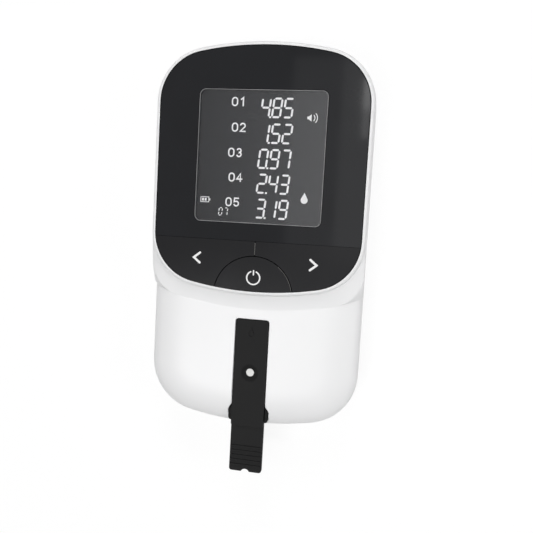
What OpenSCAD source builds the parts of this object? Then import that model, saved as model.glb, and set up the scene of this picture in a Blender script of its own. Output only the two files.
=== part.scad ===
// Handheld lipid meter with a test card in its holder, lying on its back, display up.
// X runs across the meter, Y runs towards the top of the display, Z runs up through the display.
// The origin is on the resting plane, midway between the head's end and the card's tip.

/* [Body] */
// Width of the body
body_w = 79; // [78:1:84]
// Length of the body from the head's end to the deck's end
body_l = 140; // [139:1:146]
// Radius of the gently bowed ends
end_r = 118.5; // [100:0.5:140]
// Corner radius of the body seen from above
corner_r = 19.8; // [18:0.1:21]
// Height of the parting line over the resting plane
part_z = 12; // [12:0.1:12.4]
// Height of the rim round the black panel
rim_z = 26; // [25.8:0.1:27]
// Height of the flat middle of the lower deck
deck_z = 22.8; // [22.6:0.1:23]
// Wall thickness of the casings
wall = 2.2; // [1.8:0.1:2.4]
// Width of the rounding along the back's edges
rear_round = 6; // [5:0.5:7]

/* [Head] */
// Length of the raised head, from its end to the rim's lower edge
head_l = 90.6; // [90:0.1:92]
// Distance from the head's outline to the black panel
rim_w = 1.7; // [1.6:0.1:2]
// Width of the rim's rounded outer edge
rim_round_w = 1.3; // [0.8:0.1:1.4]
// Height of the rim's rounded outer edge
rim_round_h = 2.4; // [1.6:0.1:3]
// Reach of the sloped chin below the rim
chin_reach = 5.6; // [4.5:0.1:7]
// Height of the chin's top edge under the rim
chin_drop = 1.7; // [1.4:0.1:2]
// Corner radius of the chin where it meets the deck's sides
chin_corner_r = 3.5; // [2.5:0.5:6]
// Height of the deck's upright sides over the parting line
deck_wall_h = 4.6; // [3:0.1:6]
// Width over which the deck falls away to its edges
pillow_w = 15; // [12:0.5:16]
// Fullness of the deck's falling edge
pillow_n = 2.4; // [2:0.1:3]

/* [Panel and display] */
// Thickness of the black panel
panel_t = 1.6; // [1.2:0.1:1.8]
// Depth of the panel's face under the rim
panel_sink = 0.2; // [0.1:0.1:0.4]
// Thickness of the ledge that carries the panel and keys
ledge_t = 1.2; // [1:0.1:1.3]
// Width of the display window
window_w = 46.5; // [44:0.5:47]
// Length of the display window
window_l = 47.5; // [45:0.5:48]
// Corner radius of the display window
window_r = 2.3; // [1:0.1:4]
// Thickness of the display window
window_t = 1.4; // [1:0.1:1.5]
// Distance of the display's centre below the middle of the zone above the keys
display_offset = 5.3; // [4.6:0.1:5.6]
// Width by which the display cell passes the window at each side
lcd_side_lap = 1.25; // [1:0.05:1.5]
// Length by which the display cell passes the window at each end
lcd_end_lap = 1.5; // [1:0.1:2.2]
// Thickness of the display cell
lcd_t = 2; // [1.6:0.1:2.2]
// Width of the display frame's border
lcd_border = 1.5; // [1.2:0.1:1.8]

/* [Keys] */
// Length of the key zone, from its upper line to the head's lower edge
key_zone_l = 19.8; // [18.6:0.1:20.2]
// Visible gap round each key
key_gap = 0.3; // [0.2:0.05:0.4]
// Thickness of the key caps
key_t = 2.5; // [2:0.1:2.6]
// Travel of the keys
key_travel = 0.5; // [0.3:0.1:0.6]
// Radius of the half-round power key
power_r = 14.6; // [13:0.1:16]
// Distance of the power key's arc centre below the head's lower edge
power_below = 0.1; // [-0.6:0.1:0.9]
// Distance of the power switch above the head's lower edge
power_switch_up = 6.8; // [6.1:0.1:8.6]
// Distance of the arrow switches from the centre line
arrow_x = 21; // [19:0.5:24]
// Distance of the arrow switches above the head's lower edge
arrow_up = 13; // [11.6:0.1:14.6]
// Diameter of the key stems
stem_d = 4; // [3.6:0.1:4.4]
// Width of the switch housings
switch_w = 6; // [5.5:0.1:6.5]
// Height of the switch housings
switch_h = 3; // [2.6:0.1:3.1]
// Diameter of the switch plungers
plunger_d = 3.4; // [3:0.1:3.6]

/* [Main board] */
// Gap between the switches and the floor under the keys
switch_gap = 0.7; // [0.6:0.1:0.8]
// Thickness of the circuit boards
board_t = 1.6; // [1.2:0.1:1.6]
// Distance from the casing's side to the main board
board_side = 4.5; // [4:0.25:5.5]
// Length by which the main board passes the head's lower edge
board_past = 0.4; // [-1.6:0.2:1.4]
// Distance from the head's end to the main board
board_from_top = 7; // [6.5:0.1:8]
// Corner radius of the main board
board_r = 16; // [16:0.5:18]
// Diameter of the board posts
post_d = 5; // [4.5:0.1:5.5]
// Distance of the board posts from the casing's side
post_in = 7.3; // [7.1:0.1:8]
// Distance from the head's end to the upper posts
upper_post_from_top = 35; // [30:1:40]
// Distance of the lower posts above the head's lower edge
lower_post_up = 16.6; // [14:0.2:20]
// Diameter of the sounder
buzzer_d = 12; // [9:0.5:14]
// Height of the sounder
buzzer_h = 3; // [2:0.1:3.2]
// Distance of the sounder from the centre line
buzzer_x = 18; // [12:0.5:20]
// Distance from the head's end to the sounder
buzzer_from_top = 30; // [26:0.5:36]
// Width of the data port
port_w = 8.6; // [7.5:0.1:9]
// Height of the data port
port_h = 3.5; // [3:0.1:3.6]
// Length of the data port
port_l = 9; // [7:0.5:10]
// Distance from the head's end to the data port
port_in = 2.4; // [2.3:0.1:3]

/* [Test card] */
// Width of the test card
card_w = 12.4; // [11.5:0.1:12.6]
// Length of the test card
card_l = 58.2; // [56:0.1:60]
// Thickness of the card's lower half
card_base_t = 1.7; // [1.5:0.1:1.8]
// Thickness of the card's upper half
card_cover_t = 1; // [0.8:0.1:1.1]
// Length of the card's upper half
card_cover_l = 40.5; // [38:0.1:41]
// Distance from the chin's lower edge to the card's inner end
slot_gap = 3.5; // [3.3:0.1:4.3]
// Distance of the sample well from the deck's end
well_up = 20.3; // [20:0.1:21.2]
// Radius of the sample well at the card's face
well_r = 3.3; // [2.6:0.1:3.8]
// Radius of the sample hole at the pad
well_hole_r = 1.5; // [1.2:0.1:1.8]
// Radius of the reagent pad
pad_r = 2.6; // [2.2:0.1:3]
// Thickness of the reagent pad
pad_t = 0.5; // [0.3:0.1:0.6]
// Corner radius of the card's halves
card_corner_r = 1; // [0.6:0.1:1.5]
// Number of grip ridges
ridge_count = 5; // [3:1:6]
// Spacing of the grip ridges
ridge_pitch = 1.8; // [1.6:0.1:2]
// Height of the grip ridges
ridge_h = 0.3; // [0.2:0.05:0.5]
// Distance from the card's tip to the first grip ridge
ridge_from_tip = 2; // [1.6:0.1:4]
// Depth of the card's face under the rim
card_drop = 3; // [2.9:0.1:3.2]
// Clearance round the card
card_clear = 0.15; // [0.1:0.05:0.2]

/* [Card holder] */
// Thickness of the holder's side walls
holder_wall = 1.2; // [1:0.1:1.3]
// Thickness of the holder's floor
holder_floor = 1.1; // [0.9:0.1:1.2]
// Distance of the holder's mouth inside the deck's end
holder_in = 1.6; // [1:0.1:2.2]
// Length of the raised ears at the holder's mouth
ear_l = 6.8; // [6:0.1:8]
// Height of the ears under the card's face
ear_drop = 1; // [0.9:0.1:1.2]
// Clearance round the holder in its channel
holder_clear = 0.2; // [0.1:0.05:0.25]
// Diameter of the holder's opening over the optics
holder_bore_d = 8; // [7:0.5:9]

/* [Optics] */
// Width of the optical head
optic_w = 26; // [24:0.5:26]
// Length of the optical head
optic_l = 16; // [15:0.5:16]
// Width of the optical head's nose
nose_w = 12; // [11:0.5:12]
// Length of the optical head's nose
nose_l = 11.6; // [11:0.1:12]
// Side length of the clear plate over the optics
glass_w = 10; // [9.6:0.1:10]
// Thickness of the clear plate over the optics
glass_t = 0.8; // [0.5:0.1:1]
// Diameter of the lamps
lamp_d = 3; // [2.6:0.1:3.1]
// Distance of the lamps from the sensor's axis, each way
lamp_off = 3.2; // [3.1:0.1:3.3]
// Height of the sensor board's underside
sensor_z = 9; // [8.5:0.1:9.2]
// Width of the sensor board
sensor_w = 36; // [35:0.5:38]
// Length of the sensor board
sensor_l = 24; // [23:0.5:25]

/* [Battery bay] */
// Diameter of a battery cell
cell_d = 10.5; // [10.3:0.1:10.5]
// Length of a battery cell
cell_l = 44.5; // [44:0.1:45]
// Number of battery cells
cell_count = 4; // [2:1:4]
// Gap between neighbouring cells
cell_gap = 0.3; // [0.2:0.1:0.4]
// Room for a battery spring
spring_room = 4.5; // [4:0.1:5]
// Thickness of the contact plates
contact_t = 0.4; // [0.3:0.1:0.5]
// Gap between the battery bay's end wall and the sensor board
bay_gap = 1.3; // [1:0.1:2.8]
// Thickness of the battery bay's walls
bay_wall = 1.6; // [1.4:0.1:1.8]
// Thickness of the battery door
door_t = 1.8; // [1.4:0.1:1.9]
// Width by which the door overlaps the bay on each side
door_lap = 1.6; // [1.2:0.1:1.8]
// Gap round the battery door
door_gap = 0.25; // [0.2:0.05:0.35]
// Turns of a battery spring
spring_turns = 3; // [2:1:3]
// Diameter of the spring wire
wire_d = 0.7; // [0.5:0.1:0.8]

/* [Code chip] */
// Width of the code chip
chip_w = 12; // [10:0.5:13]
// Thickness of the code chip
chip_t = 3; // [2.4:0.1:3.2]
// Distance from the head's end to the code chip's centre
chip_from_top = 84; // [80:0.5:88]
// Thickness of the chip socket's back
socket_back = 3.7; // [3:0.1:4.5]
// Thickness of the chip socket's walls
socket_wall = 1.3; // [1:0.1:1.6]

/* [Fasteners and feet] */
// Height of the rubber feet under the casing
foot_h = 0.8; // [0.6:0.1:1]
// Diameter of the rubber feet
foot_d = 8; // [6:0.5:9]
// Depth of the feet's seats
foot_seat = 0.5; // [0.3:0.1:0.8]
// Distance of the rubber feet from the casing's side
foot_in = 19; // [15:0.5:22]
// Distance of the rubber feet from the casing's ends
foot_from_end = 15; // [14:0.5:18]
// Diameter of the case screws' shanks
screw_d = 2.4; // [2:0.1:2.6]
// Length of the case screws' shanks
screw_l = 12; // [10:0.5:13]
// Depth of the case screws' seats in the back
screw_seat = 3.2; // [2.6:0.1:3.6]
// Diameter of the case screws' heads
screw_head_d = 5; // [4.4:0.1:5.2]
// Height of the case screws' heads
screw_head_h = 1.8; // [1.4:0.1:2]
// Diameter of the screw pillars
pillar_d = 7; // [6.5:0.1:7.4]
// Distance of the screw pillars from the casing's side
pillar_in = 9.9; // [9.9:0.1:10.4]
// Distance of the screw pillars from the casing's ends
pillar_from_end = 11.9; // [11.9:0.1:13]
// Diameter of the board screws' shanks
small_screw_d = 2; // [1.6:0.1:2.2]
// Length of the board screws' shanks
small_screw_l = 5; // [4:0.5:5]
// Diameter of the board screws' heads
small_head_d = 4; // [3.6:0.1:4.4]
// Height of the board screws' heads
small_head_h = 1.4; // [1.2:0.1:1.6]

/* [Hidden] */
$fn = 48;

// Clearances and overshoots that several pieces share
seat_gap = 0.1;
fit_gap = 0.05;
cut = 1;
end_steps = 6;
corner_steps = 8;

// Ends of the object along Y
card_from_top = head_l + chin_reach + slot_gap;
card_out = card_from_top + card_l - body_l;
top_y = (body_l + card_out) / 2;
function down(d) = top_y - d;
half_w = body_w / 2;

// Places in the head, as distances from its upper end
key_line_from_top = head_l - key_zone_l;
power_from_top = head_l + power_below;
display_y = down(key_line_from_top / 2 + display_offset);
lcd_w = window_w + 2 * lcd_side_lap;
lcd_l = window_l + 2 * lcd_end_lap;

// Levels from the rim downwards
under_key = 0.5;
panel_z = rim_z - panel_sink;
ledge_z = panel_z - panel_t - seat_gap;
key_z = panel_z - key_t;
key_floor_z = key_z - key_travel - under_key;
lcd_z = ledge_z - lcd_t - seat_gap;
board_top = key_floor_z - ledge_t - switch_gap - switch_h;
board_z = board_top - board_t;
plunger_top = board_top + switch_h + key_travel + seat_gap;

// Levels of the card and its channel
card_top = rim_z - card_drop;
card_base_top = card_top - card_cover_t;
card_z = card_base_top - card_base_t;
holder_z = card_z - seat_gap - holder_floor;
holder_w = card_w + 2 * (card_clear + holder_wall);
holder_wall_drop = 0.7;
holder_wall_top = card_base_top - holder_wall_drop;
ear_top = card_top - ear_drop;
holder_from_top = card_from_top - holder_wall / 2 - card_clear;
holder_end = body_l - holder_in;
channel_z = holder_z - seat_gap;
channel_w = holder_w + 2 * holder_clear;
channel_floor = 1.5;
well_y = down(body_l - well_up);

// Levels and places in the rear casing
floor_z = foot_h + wall;
door_top = foot_h + door_t;
cell_clear = 0.3;
cell_z = door_top + cell_clear + cell_d / 2;
cell_pitch = cell_d + cell_gap;
bay_w = cell_count * cell_pitch + cell_gap;
bay_l = cell_l + spring_room + 2 * contact_t + 2 * seat_gap;
bay_roof_z = cell_z + cell_d / 2 + cell_clear;
bay_roof_t = 1.4;
sensor_from_top = body_l - well_up - optic_l / 2;
bay_y = down(sensor_from_top - bay_gap - bay_wall - bay_l);
door_w = bay_w + 2 * door_lap;
door_y = bay_y + bay_wall - seat_gap;
door_l = bay_l + 2 * (bay_wall - seat_gap);
optic_z = sensor_z + board_t;
nose_top = channel_z - seat_gap;
nose_z = channel_z - channel_floor - 2 * seat_gap;

// Screw and foot places, each mirrored to both sides
sensor_hole_in = 2.5;
sensor_hole_end = 3.4;
pillar_spots = [for (d = [pillar_from_end, body_l - pillar_from_end]) [half_w - pillar_in, down(d)]];
post_spots = [for (d = [upper_post_from_top, head_l - lower_post_up]) [half_w - post_in, down(d)]];
sensor_spots = [for (d = [sensor_hole_end, sensor_l - sensor_hole_end])
    [sensor_w / 2 - sensor_hole_in, down(sensor_from_top + d)]];
foot_spots = [for (d = [foot_from_end, body_l - foot_from_end]) [half_w - foot_in, down(d)]];
switch_spots = [[-arrow_x, down(head_l - arrow_up)], [arrow_x, down(head_l - arrow_up)],
    [0, down(head_l - power_switch_up)]];
screw_seat_z = foot_h + screw_seat;
hole_end = 0.5;

// Colours
white = [0.95, 0.95, 0.95];
black = [0.14, 0.14, 0.15];
soft_black = [0.17, 0.17, 0.17];
metal = [0.75, 0.76, 0.78];
green = [0.1, 0.36, 0.2];

// Points of an arc, one more than its steps
function arc(cx, cy, r, from, to, steps) =
    [for (i = [0:steps]) let (t = from + (to - from) * i / steps) [cx + r * cos(t), cy + r * sin(t)]];
function but_first(list) = [for (i = [1:len(list) - 1]) list[i]];

// A corner arc touches the side line and, from inside, the bowed end of radius bow
function corner_depth(bow, r, a) = bow - sqrt(pow(bow - r, 2) - pow(a - r, 2));
function corner_turn(bow, r, a) = asin((a - r) / (bow - r));

// Right half of an outline with bowed ends: half width, upper and lower edge, corner radii, end radius
function half_outline(a, hi, lo, r_hi, r_lo, bow) =
    let (turn_hi = corner_turn(bow, r_hi, a), turn_lo = corner_turn(bow, r_lo, a))
    concat(
        arc(0, hi - bow, bow, 90, 90 - turn_hi, end_steps),
        but_first(arc(a - r_hi, hi - corner_depth(bow, r_hi, a), r_hi, 90 - turn_hi, 0, corner_steps)),
        arc(a - r_lo, lo + corner_depth(bow, r_lo, a), r_lo, 0, turn_lo - 90, corner_steps),
        but_first(arc(0, lo + bow, bow, turn_lo - 90, -90, end_steps)));
function whole_outline(half) =
    concat(half, [for (i = [len(half) - 2:-1:1]) [-half[i].x, half[i].y]]);

// The body's outline, drawn in by d, between two edges
function body_outline(d, hi, lo) =
    whole_outline(half_outline(half_w - d, hi - d, lo + d, corner_r - d, corner_r - d, end_r - d));
function body_plan(d) = body_outline(d, top_y, down(body_l));
// The head's outline, drawn in by d
function head_plan(d) = body_outline(d, top_y, down(head_l));
function at_z(points, z) = [for (p = points) [p.x, p.y, z]];

// Solid through rings of points stacked upwards, each ring running clockwise seen from above
module loft(rings) {
    n = len(rings[0]);
    last = (len(rings) - 1) * n;
    polyhedron(
        points = [for (ring = rings) each ring],
        faces = concat(
            [[for (i = [n - 1:-1:0]) i]],
            [for (k = [0:len(rings) - 2], i = [0:n - 1])
                let (j = (i + 1) % n, low = k * n, high = low + n)
                each [[low + j, high + j, high + i], [low + j, high + i, low + i]]],
            [[for (i = [0:n - 1]) last + i]]));
}

// Upright solid over an outline, from z1 to z2
module prism(points, z1, z2) {
    translate([0, 0, z1]) linear_extrude(z2 - z1) polygon(points);
}

// Box centred on X, from y1 down to y2 and from z1 to z2
module slab(w, y1, y2, z1, z2) {
    translate([-w / 2, y2, z1]) cube([w, y1 - y2, z2 - z1]);
}

// Box with upright corners of radius r, centred on x, y
module rounded_slab(x, y, w, l, r, z1, z2) {
    translate([x, y, z1]) {
        translate([-w / 2 + r, -l / 2, 0]) cube([w - 2 * r, l, z2 - z1]);
        translate([-w / 2, -l / 2 + r, 0]) cube([w, l - 2 * r, z2 - z1]);
        for (sx = [-1, 1], sy = [-1, 1])
            translate([sx * (w / 2 - r), sy * (l / 2 - r), 0]) cylinder(r = r, h = z2 - z1);
    }
}

// Upright cylinder from z1 to z2 at a spot
module rod(spot, d, z1, z2) {
    translate([spot.x, spot.y, z1]) cylinder(d = d, h = z2 - z1);
}

// Children at each spot and at its mirror image
module both_sides(spots) {
    for (s = spots, side = [-1, 1])
        translate([side * s.x, s.y, 0]) children();
}

// The deck: a pillow whose edge follows a superellipse from its upright sides to the flat middle
deck_rings = 8;
edge_z = part_z + deck_wall_h;
deck_under_head = 13.4;
deck_hi = down(head_l + chin_reach - corner_r - deck_under_head);
function pillow_in(t, from) = from + (pillow_w - from) * (1 - pow(cos(t), 2 / pillow_n));
function pillow_up(t, h) = h * pow(sin(t), 2 / pillow_n);
function pillow_ring(t, from, h) =
    at_z(body_outline(pillow_in(t, from), deck_hi, down(body_l)), edge_z + pillow_up(t, h));
module deck_form() {
    loft(concat(
        [at_z(body_outline(0, deck_hi, down(body_l)), part_z)],
        [for (k = [0:deck_rings]) pillow_ring(90 * k / deck_rings, 0, deck_z - edge_z)]));
}
hollow_rings = 5;
module deck_hollow() {
    loft(concat(
        [at_z(body_outline(wall, deck_hi, down(body_l)), part_z - cut)],
        [for (k = [0:hollow_rings])
            pillow_ring(90 * k / hollow_rings, wall, deck_z - wall - edge_z)]));
}

// The head: upright walls, a rounded rim, and a chin that slopes out from under the rim's lower edge
// Its corners turn squarer on the way down to the deck's sides
chin_hi = rim_z - chin_drop;
side_rings = 4;
chin_rings = 5;
rim_rings = 5;
rim_low = rim_z - rim_round_h;
function rim_in(z) =
    z <= rim_low ? 0 : rim_round_w * (1 - sqrt(max(0, 1 - pow((z - rim_low) / rim_round_h, 2))));
chin_curve = 1.8;
function chin_out(z) =
    z >= chin_hi ? 0 : chin_reach * pow((chin_hi - max(z, deck_z)) / (chin_hi - deck_z), chin_curve);
corner_curve = 1.4;
function chin_corner(z, r) =
    let (fall = min(1, max(0, (chin_hi - z) / (chin_hi - edge_z))))
    chin_corner_r + (r - chin_corner_r) * pow(1 - fall, corner_curve);
function head_ring(z) =
    let (d = rim_in(z))
    at_z(whole_outline(half_outline(half_w - d, top_y - d, down(head_l) + d - chin_out(z),
        corner_r - d, chin_corner(z, corner_r - d), end_r - d)), z);
module head_form() {
    loft(concat(
        [head_ring(part_z)],
        [for (k = [0:side_rings - 1]) head_ring(edge_z + (deck_z - edge_z) * k / side_rings)],
        [for (k = [0:chin_rings - 1]) head_ring(deck_z + (chin_hi - deck_z) * k / chin_rings)],
        [for (k = [0:rim_rings]) head_ring(chin_hi + (rim_z - chin_hi) * sin(90 * k / rim_rings))]));
}
// Inside the head: low under the keys, higher behind the display, with a thicker wall up there
low_wall = wall + 0.6;
high_wall = low_wall + 0.4;
module head_hollow() {
    prism(head_plan(low_wall), part_z - cut, key_floor_z - ledge_t);
    intersection() {
        prism(head_plan(high_wall), part_z - cut, ledge_z - ledge_t);
        slab(body_w, top_y, down(key_line_from_top - ledge_t), part_z - cut, rim_z);
    }
}

// What stands inside the upper casing: card channel, screw pillars and board posts
channel_wall = 1.6;
channel_end = 3;
module front_frames() {
    slab(channel_w + 2 * channel_wall, down(card_from_top - channel_end), down(body_l),
        channel_z - channel_floor, deck_z);
    both_sides([pillar_spots[0]]) cylinder(d = pillar_d, h = ledge_z);
    both_sides([pillar_spots[1]]) cylinder(d = pillar_d, h = deck_z);
    both_sides(post_spots) translate([0, 0, board_top]) cylinder(d = post_d, h = ledge_z - board_top);
}

// Clearances of what stands in the upper casing's openings
lcd_clear = 0.3;
stem_clear = 0.5;
nose_clear = 0.3;
port_clear = 0.3;
port_cut_l = 7.8;
lip_in = 1.1;
lip_h = 1.2;
lip_root = 2;
// Plan of the holder's ears, which flare from the slot's width, or of the pocket that they lie in
ear_flare_l = 3.4;
function ear_plan(half, clear, end, slant) =
    let (start = down(holder_end - ear_l) + clear, side = [[card_w / 2 + card_clear, start],
        [half, start - ear_flare_l], [half, end + slant], [half - slant, end]])
    concat(side, [for (i = [3:-1:0]) [-side[i].x, side[i].y]]);

module front_cover() {
    color(white) difference() {
        union() {
            deck_form();
            head_form();
        }
        difference() {
            union() {
                deck_hollow();
                head_hollow();
            }
            front_frames();
        }
        // Panel recess, and the deeper floor under the keys
        prism(head_plan(rim_w - seat_gap), ledge_z, rim_z + cut);
        intersection() {
            prism(head_plan(rim_w - seat_gap), key_floor_z, rim_z + cut);
            slab(body_w, down(key_line_from_top), down(head_l), part_z, rim_z + cut);
        }
        // Display opening and stem holes
        display_slab(lcd_w + 2 * lcd_clear, lcd_l + 2 * lcd_clear, 0, part_z, rim_z);
        for (s = switch_spots) rod(s, stem_d + 2 * stem_clear, part_z, rim_z);
        // Card channel: tunnel for the holder, slot for the card, open mouth and optics hole
        slab(channel_w, down(holder_from_top - holder_clear), down(body_l + cut), channel_z,
            holder_wall_top + holder_clear);
        slab(card_w + 2 * card_clear, down(card_from_top - card_clear), down(body_l + cut), channel_z, rim_z);
        prism(ear_plan(channel_w / 2, holder_clear, down(body_l + cut), 0), channel_z, rim_z);
        well_slab(nose_w + 2 * nose_clear, nose_l + 2 * nose_clear, channel_z - channel_floor - cut,
            channel_z + cut);
        // Screw holes
        both_sides(pillar_spots)
            cylinder(d = screw_d + 2 * fit_gap, h = screw_seat_z + screw_l + hole_end);
        both_sides(post_spots)
            cylinder(d = small_screw_d + 2 * fit_gap, h = board_z + small_screw_l + hole_end);
        // Data port opening at the head's end
        slab(port_w + 2 * port_clear, top_y + cut, down(port_cut_l), part_z - cut, board_z + 2 * seat_gap);
        // Step for the lower casing's lip
        prism(body_plan(lip_in - seat_gap), part_z - cut, part_z + lip_h + seat_gap);
    }
}

// The back: an elliptic rounding from the parting line to the flat back
rear_rings = 7;
function rear_ring(t, from, h) =
    at_z(body_plan(from + (rear_round - from) * (1 - cos(t))), part_z - h * sin(t));
module rear_form() {
    loft([for (k = [rear_rings:-1:0]) rear_ring(90 * k / rear_rings, 0, part_z - foot_h)]);
}
module rear_hollow() {
    loft(concat(
        [for (k = [hollow_rings:-1:0]) rear_ring(90 * k / hollow_rings, wall, part_z - floor_z)],
        [at_z(body_plan(wall), part_z + cut)]));
}

// Outer block of the battery bay, with its roof
module bay_block() {
    slab(door_w + 2 * door_gap + 2 * bay_wall, bay_y + bay_wall, bay_y - bay_l - bay_wall, floor_z - cut,
        bay_roof_z + bay_roof_t);
}

// Door clips, thumb notch and places of the code chip's slot
tab_w = 5;
tab_x = 14;
tab_l = 1.2;
tab_t = 0.9;
tab_clear = 0.3;
notch_w = 12;
notch_h = 1.2;
pillar_skin = 0.8;
head_clear = 0.3;
shank_clear = 0.25;
chip_clear = 0.2;
chip_up = 2.8;
chip_z = floor_z + chip_up;
module rear_cover() {
    color(white) difference() {
        union() {
            difference() {
                rear_form();
                rear_hollow();
            }
            // Lip that locates the upper casing
            difference() {
                prism(body_plan(lip_in), part_z - lip_root, part_z + lip_h);
                prism(body_plan(wall), part_z - lip_root - cut, part_z + lip_h + cut);
            }
            bay_block();
            intersection() {
                both_sides(pillar_spots) translate([0, 0, floor_z - cut])
                    cylinder(d = pillar_d, h = part_z - floor_z + cut);
                prism(body_plan(wall + pillar_skin), floor_z - 2 * cut, part_z + cut);
            }
            both_sides(sensor_spots) translate([0, 0, floor_z - cut])
                cylinder(d = post_d, h = sensor_z - floor_z + cut);
        }
        // Cell space and the opening that the door closes
        slab(bay_w, bay_y, bay_y - bay_l, foot_h - cut, bay_roof_z);
        slab(door_w + 2 * door_gap, door_y + door_gap, door_y - door_l - door_gap, foot_h - cut,
            door_top + 2 * seat_gap);
        // Pockets for the door's clips, over a lip in the floor
        for (side = [-1, 1])
            translate([side * tab_x - tab_w / 2 - tab_clear, door_y - cut, door_top - tab_t - tab_clear])
                cube([tab_w + 2 * tab_clear, tab_l + tab_clear + cut, tab_t + 1]);
        // Finger notch at the door's free end
        translate([0, door_y - door_l - door_gap, foot_h])
            cylinder(d = notch_w, h = 2 * notch_h, center = true);
        // Screw seats, screw holes and foot seats
        both_sides(pillar_spots) translate([0, 0, foot_h - cut])
            cylinder(d = screw_head_d + 2 * head_clear, h = screw_seat + cut);
        both_sides(pillar_spots) cylinder(d = screw_d + 2 * shank_clear, h = part_z + cut);
        both_sides(sensor_spots) translate([0, 0, optic_z - small_screw_l - 2 * seat_gap])
            cylinder(d = small_screw_d + 2 * fit_gap, h = small_screw_l + cut);
        both_sides(foot_spots) translate([0, 0, foot_h - cut])
            cylinder(d = foot_d + 2 * seat_gap, h = foot_seat + cut);
        // Slot for the code chip in the left side
        translate([-body_w, down(chip_from_top) - chip_w / 2 - chip_clear, chip_z - chip_clear])
            cube([body_w - half_w + wall + rear_round, chip_w + 2 * chip_clear, chip_t + 2 * chip_clear]);
        // Data port opening in the lip
        slab(port_w + 2 * port_clear, top_y + cut, down(port_cut_l), part_z, part_z + lip_h + cut);
    }
}

// Battery door with clips at one end and thumb ridges at the other
thumb_count = 4;
thumb_pitch = 2.4;
thumb_from_end = 6.4;
thumb_w = 1;
thumb_h = 0.4;
module battery_door() {
    color(white) difference() {
        union() {
            slab(door_w, door_y, door_y - door_l, foot_h, door_top);
            for (side = [-1, 1])
                translate([side * tab_x - tab_w / 2, door_y - cut, door_top - tab_t])
                    cube([tab_w, tab_l + cut, tab_t]);
        }
        for (i = [0:thumb_count - 1])
            translate([-notch_w / 2, door_y - door_l + thumb_from_end + i * thumb_pitch, foot_h - cut])
                cube([notch_w, thumb_w, thumb_h + cut]);
    }
}

// Front panel round the display, down to the line above the keys
module front_panel() {
    color(black) difference() {
        intersection() {
            prism(head_plan(rim_w), ledge_z + seat_gap, panel_z);
            slab(body_w, top_y, down(key_line_from_top) + key_gap / 2, ledge_z, rim_z);
        }
        rounded_slab(0, display_y, window_w, window_l, window_r, ledge_z - cut, rim_z);
    }
}

module display_window() {
    color([0.3, 0.3, 0.31, 0.6])
        rounded_slab(0, display_y, window_w - 2 * seat_gap, window_l - 2 * seat_gap,
            window_r - seat_gap, panel_z - window_t - seat_gap, panel_z - seat_gap);
}

lcd_r = 0.6;
module lcd_glass() {
    color([0.28, 0.29, 0.3])
        rounded_slab(0, display_y, lcd_w, lcd_l, lcd_r, lcd_z, lcd_z + lcd_t);
}

// Frame that carries the display cell, with slots for the elastomer strips
strip_t = 1.8;
strip_in = 1.5;
strip_off = lcd_l / 2 - strip_in;
light_rib = 2;
light_w = lcd_w - 2 * light_rib;
light_l = 2 * (strip_off - strip_t / 2) - light_rib;
light_flange = 1.2;
frame_r = 2;
frame_z = board_top + seat_gap;
// Box on the display's centre
module display_slab(w, l, off, z1, z2) {
    slab(w, display_y + off + l / 2, display_y + off - l / 2, z1, z2);
}
module lcd_frame() {
    color(soft_black) difference() {
        rounded_slab(0, display_y, lcd_w + 2 * lcd_border, lcd_l + 2 * lcd_border, frame_r, frame_z,
            lcd_z - seat_gap);
        display_slab(light_w, light_l, 0, frame_z + light_flange, rim_z);
        display_slab(light_w - 2 * light_rib, light_l - 2 * light_rib, 0, frame_z - cut, rim_z);
        for (s = [-1, 1])
            display_slab(light_w + 2 * seat_gap, strip_t + 2 * seat_gap, s * strip_off, frame_z - cut,
                rim_z);
        // Room for the casing's pillars and posts
        both_sides([pillar_spots[0]]) cylinder(d = pillar_d + 2 * seat_gap, h = rim_z);
        both_sides(post_spots) cylinder(d = post_d + 2 * seat_gap, h = rim_z);
    }
}

module backlight() {
    color([0.86, 0.88, 0.88])
        display_slab(light_w - 2 * seat_gap, light_l - 2 * seat_gap, 0, frame_z + light_flange,
            lcd_z - lcd_clear);
}

module zebra_strips() {
    color([0.62, 0.6, 0.55])
        for (s = [-1, 1]) display_slab(light_w, strip_t, s * strip_off, board_top, lcd_z);
}

// The key zone's solid between two levels, inside the panel's outline
module key_zone(z1, z2) {
    intersection() {
        prism(head_plan(rim_w + fit_gap), z1, z2);
        slab(body_w, down(key_line_from_top) - key_gap / 2, down(head_l), z1, z2);
    }
}

// Cap of an arrow key: one half of the key zone, outside the power key's arc
module arrow_cap(side) {
    difference() {
        key_zone(key_z, panel_z);
        translate([side > 0 ? key_gap / 2 - body_w : -key_gap / 2, down(head_l), 0])
            cube([body_w, head_l, rim_z + cut]);
        rod([0, down(power_from_top)], 2 * (power_r + key_gap / 2), 0, rim_z + cut);
    }
}

module key_stem(spot) {
    rod(spot, stem_d, plunger_top, key_z + fit_gap);
}

module left_key() {
    color(black) union() {
        arrow_cap(-1);
        key_stem(switch_spots[0]);
    }
}

module right_key() {
    color(black) union() {
        arrow_cap(1);
        key_stem(switch_spots[1]);
    }
}

module power_key() {
    color(black) union() {
        intersection() {
            key_zone(key_z, panel_z);
            rod([0, down(power_from_top)], 2 * (power_r - key_gap / 2), 0, rim_z + cut);
        }
        key_stem(switch_spots[2]);
    }
}

plunger_grip = 1.2;
plunger_l = key_travel + seat_gap + plunger_grip;
module plunger(spot) {
    color("ivory") rod(spot, plunger_d, plunger_top - plunger_l, plunger_top);
}

module left_plunger() {
    plunger(switch_spots[0]);
}

module right_plunger() {
    plunger(switch_spots[1]);
}

module power_plunger() {
    plunger(switch_spots[2]);
}

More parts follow.
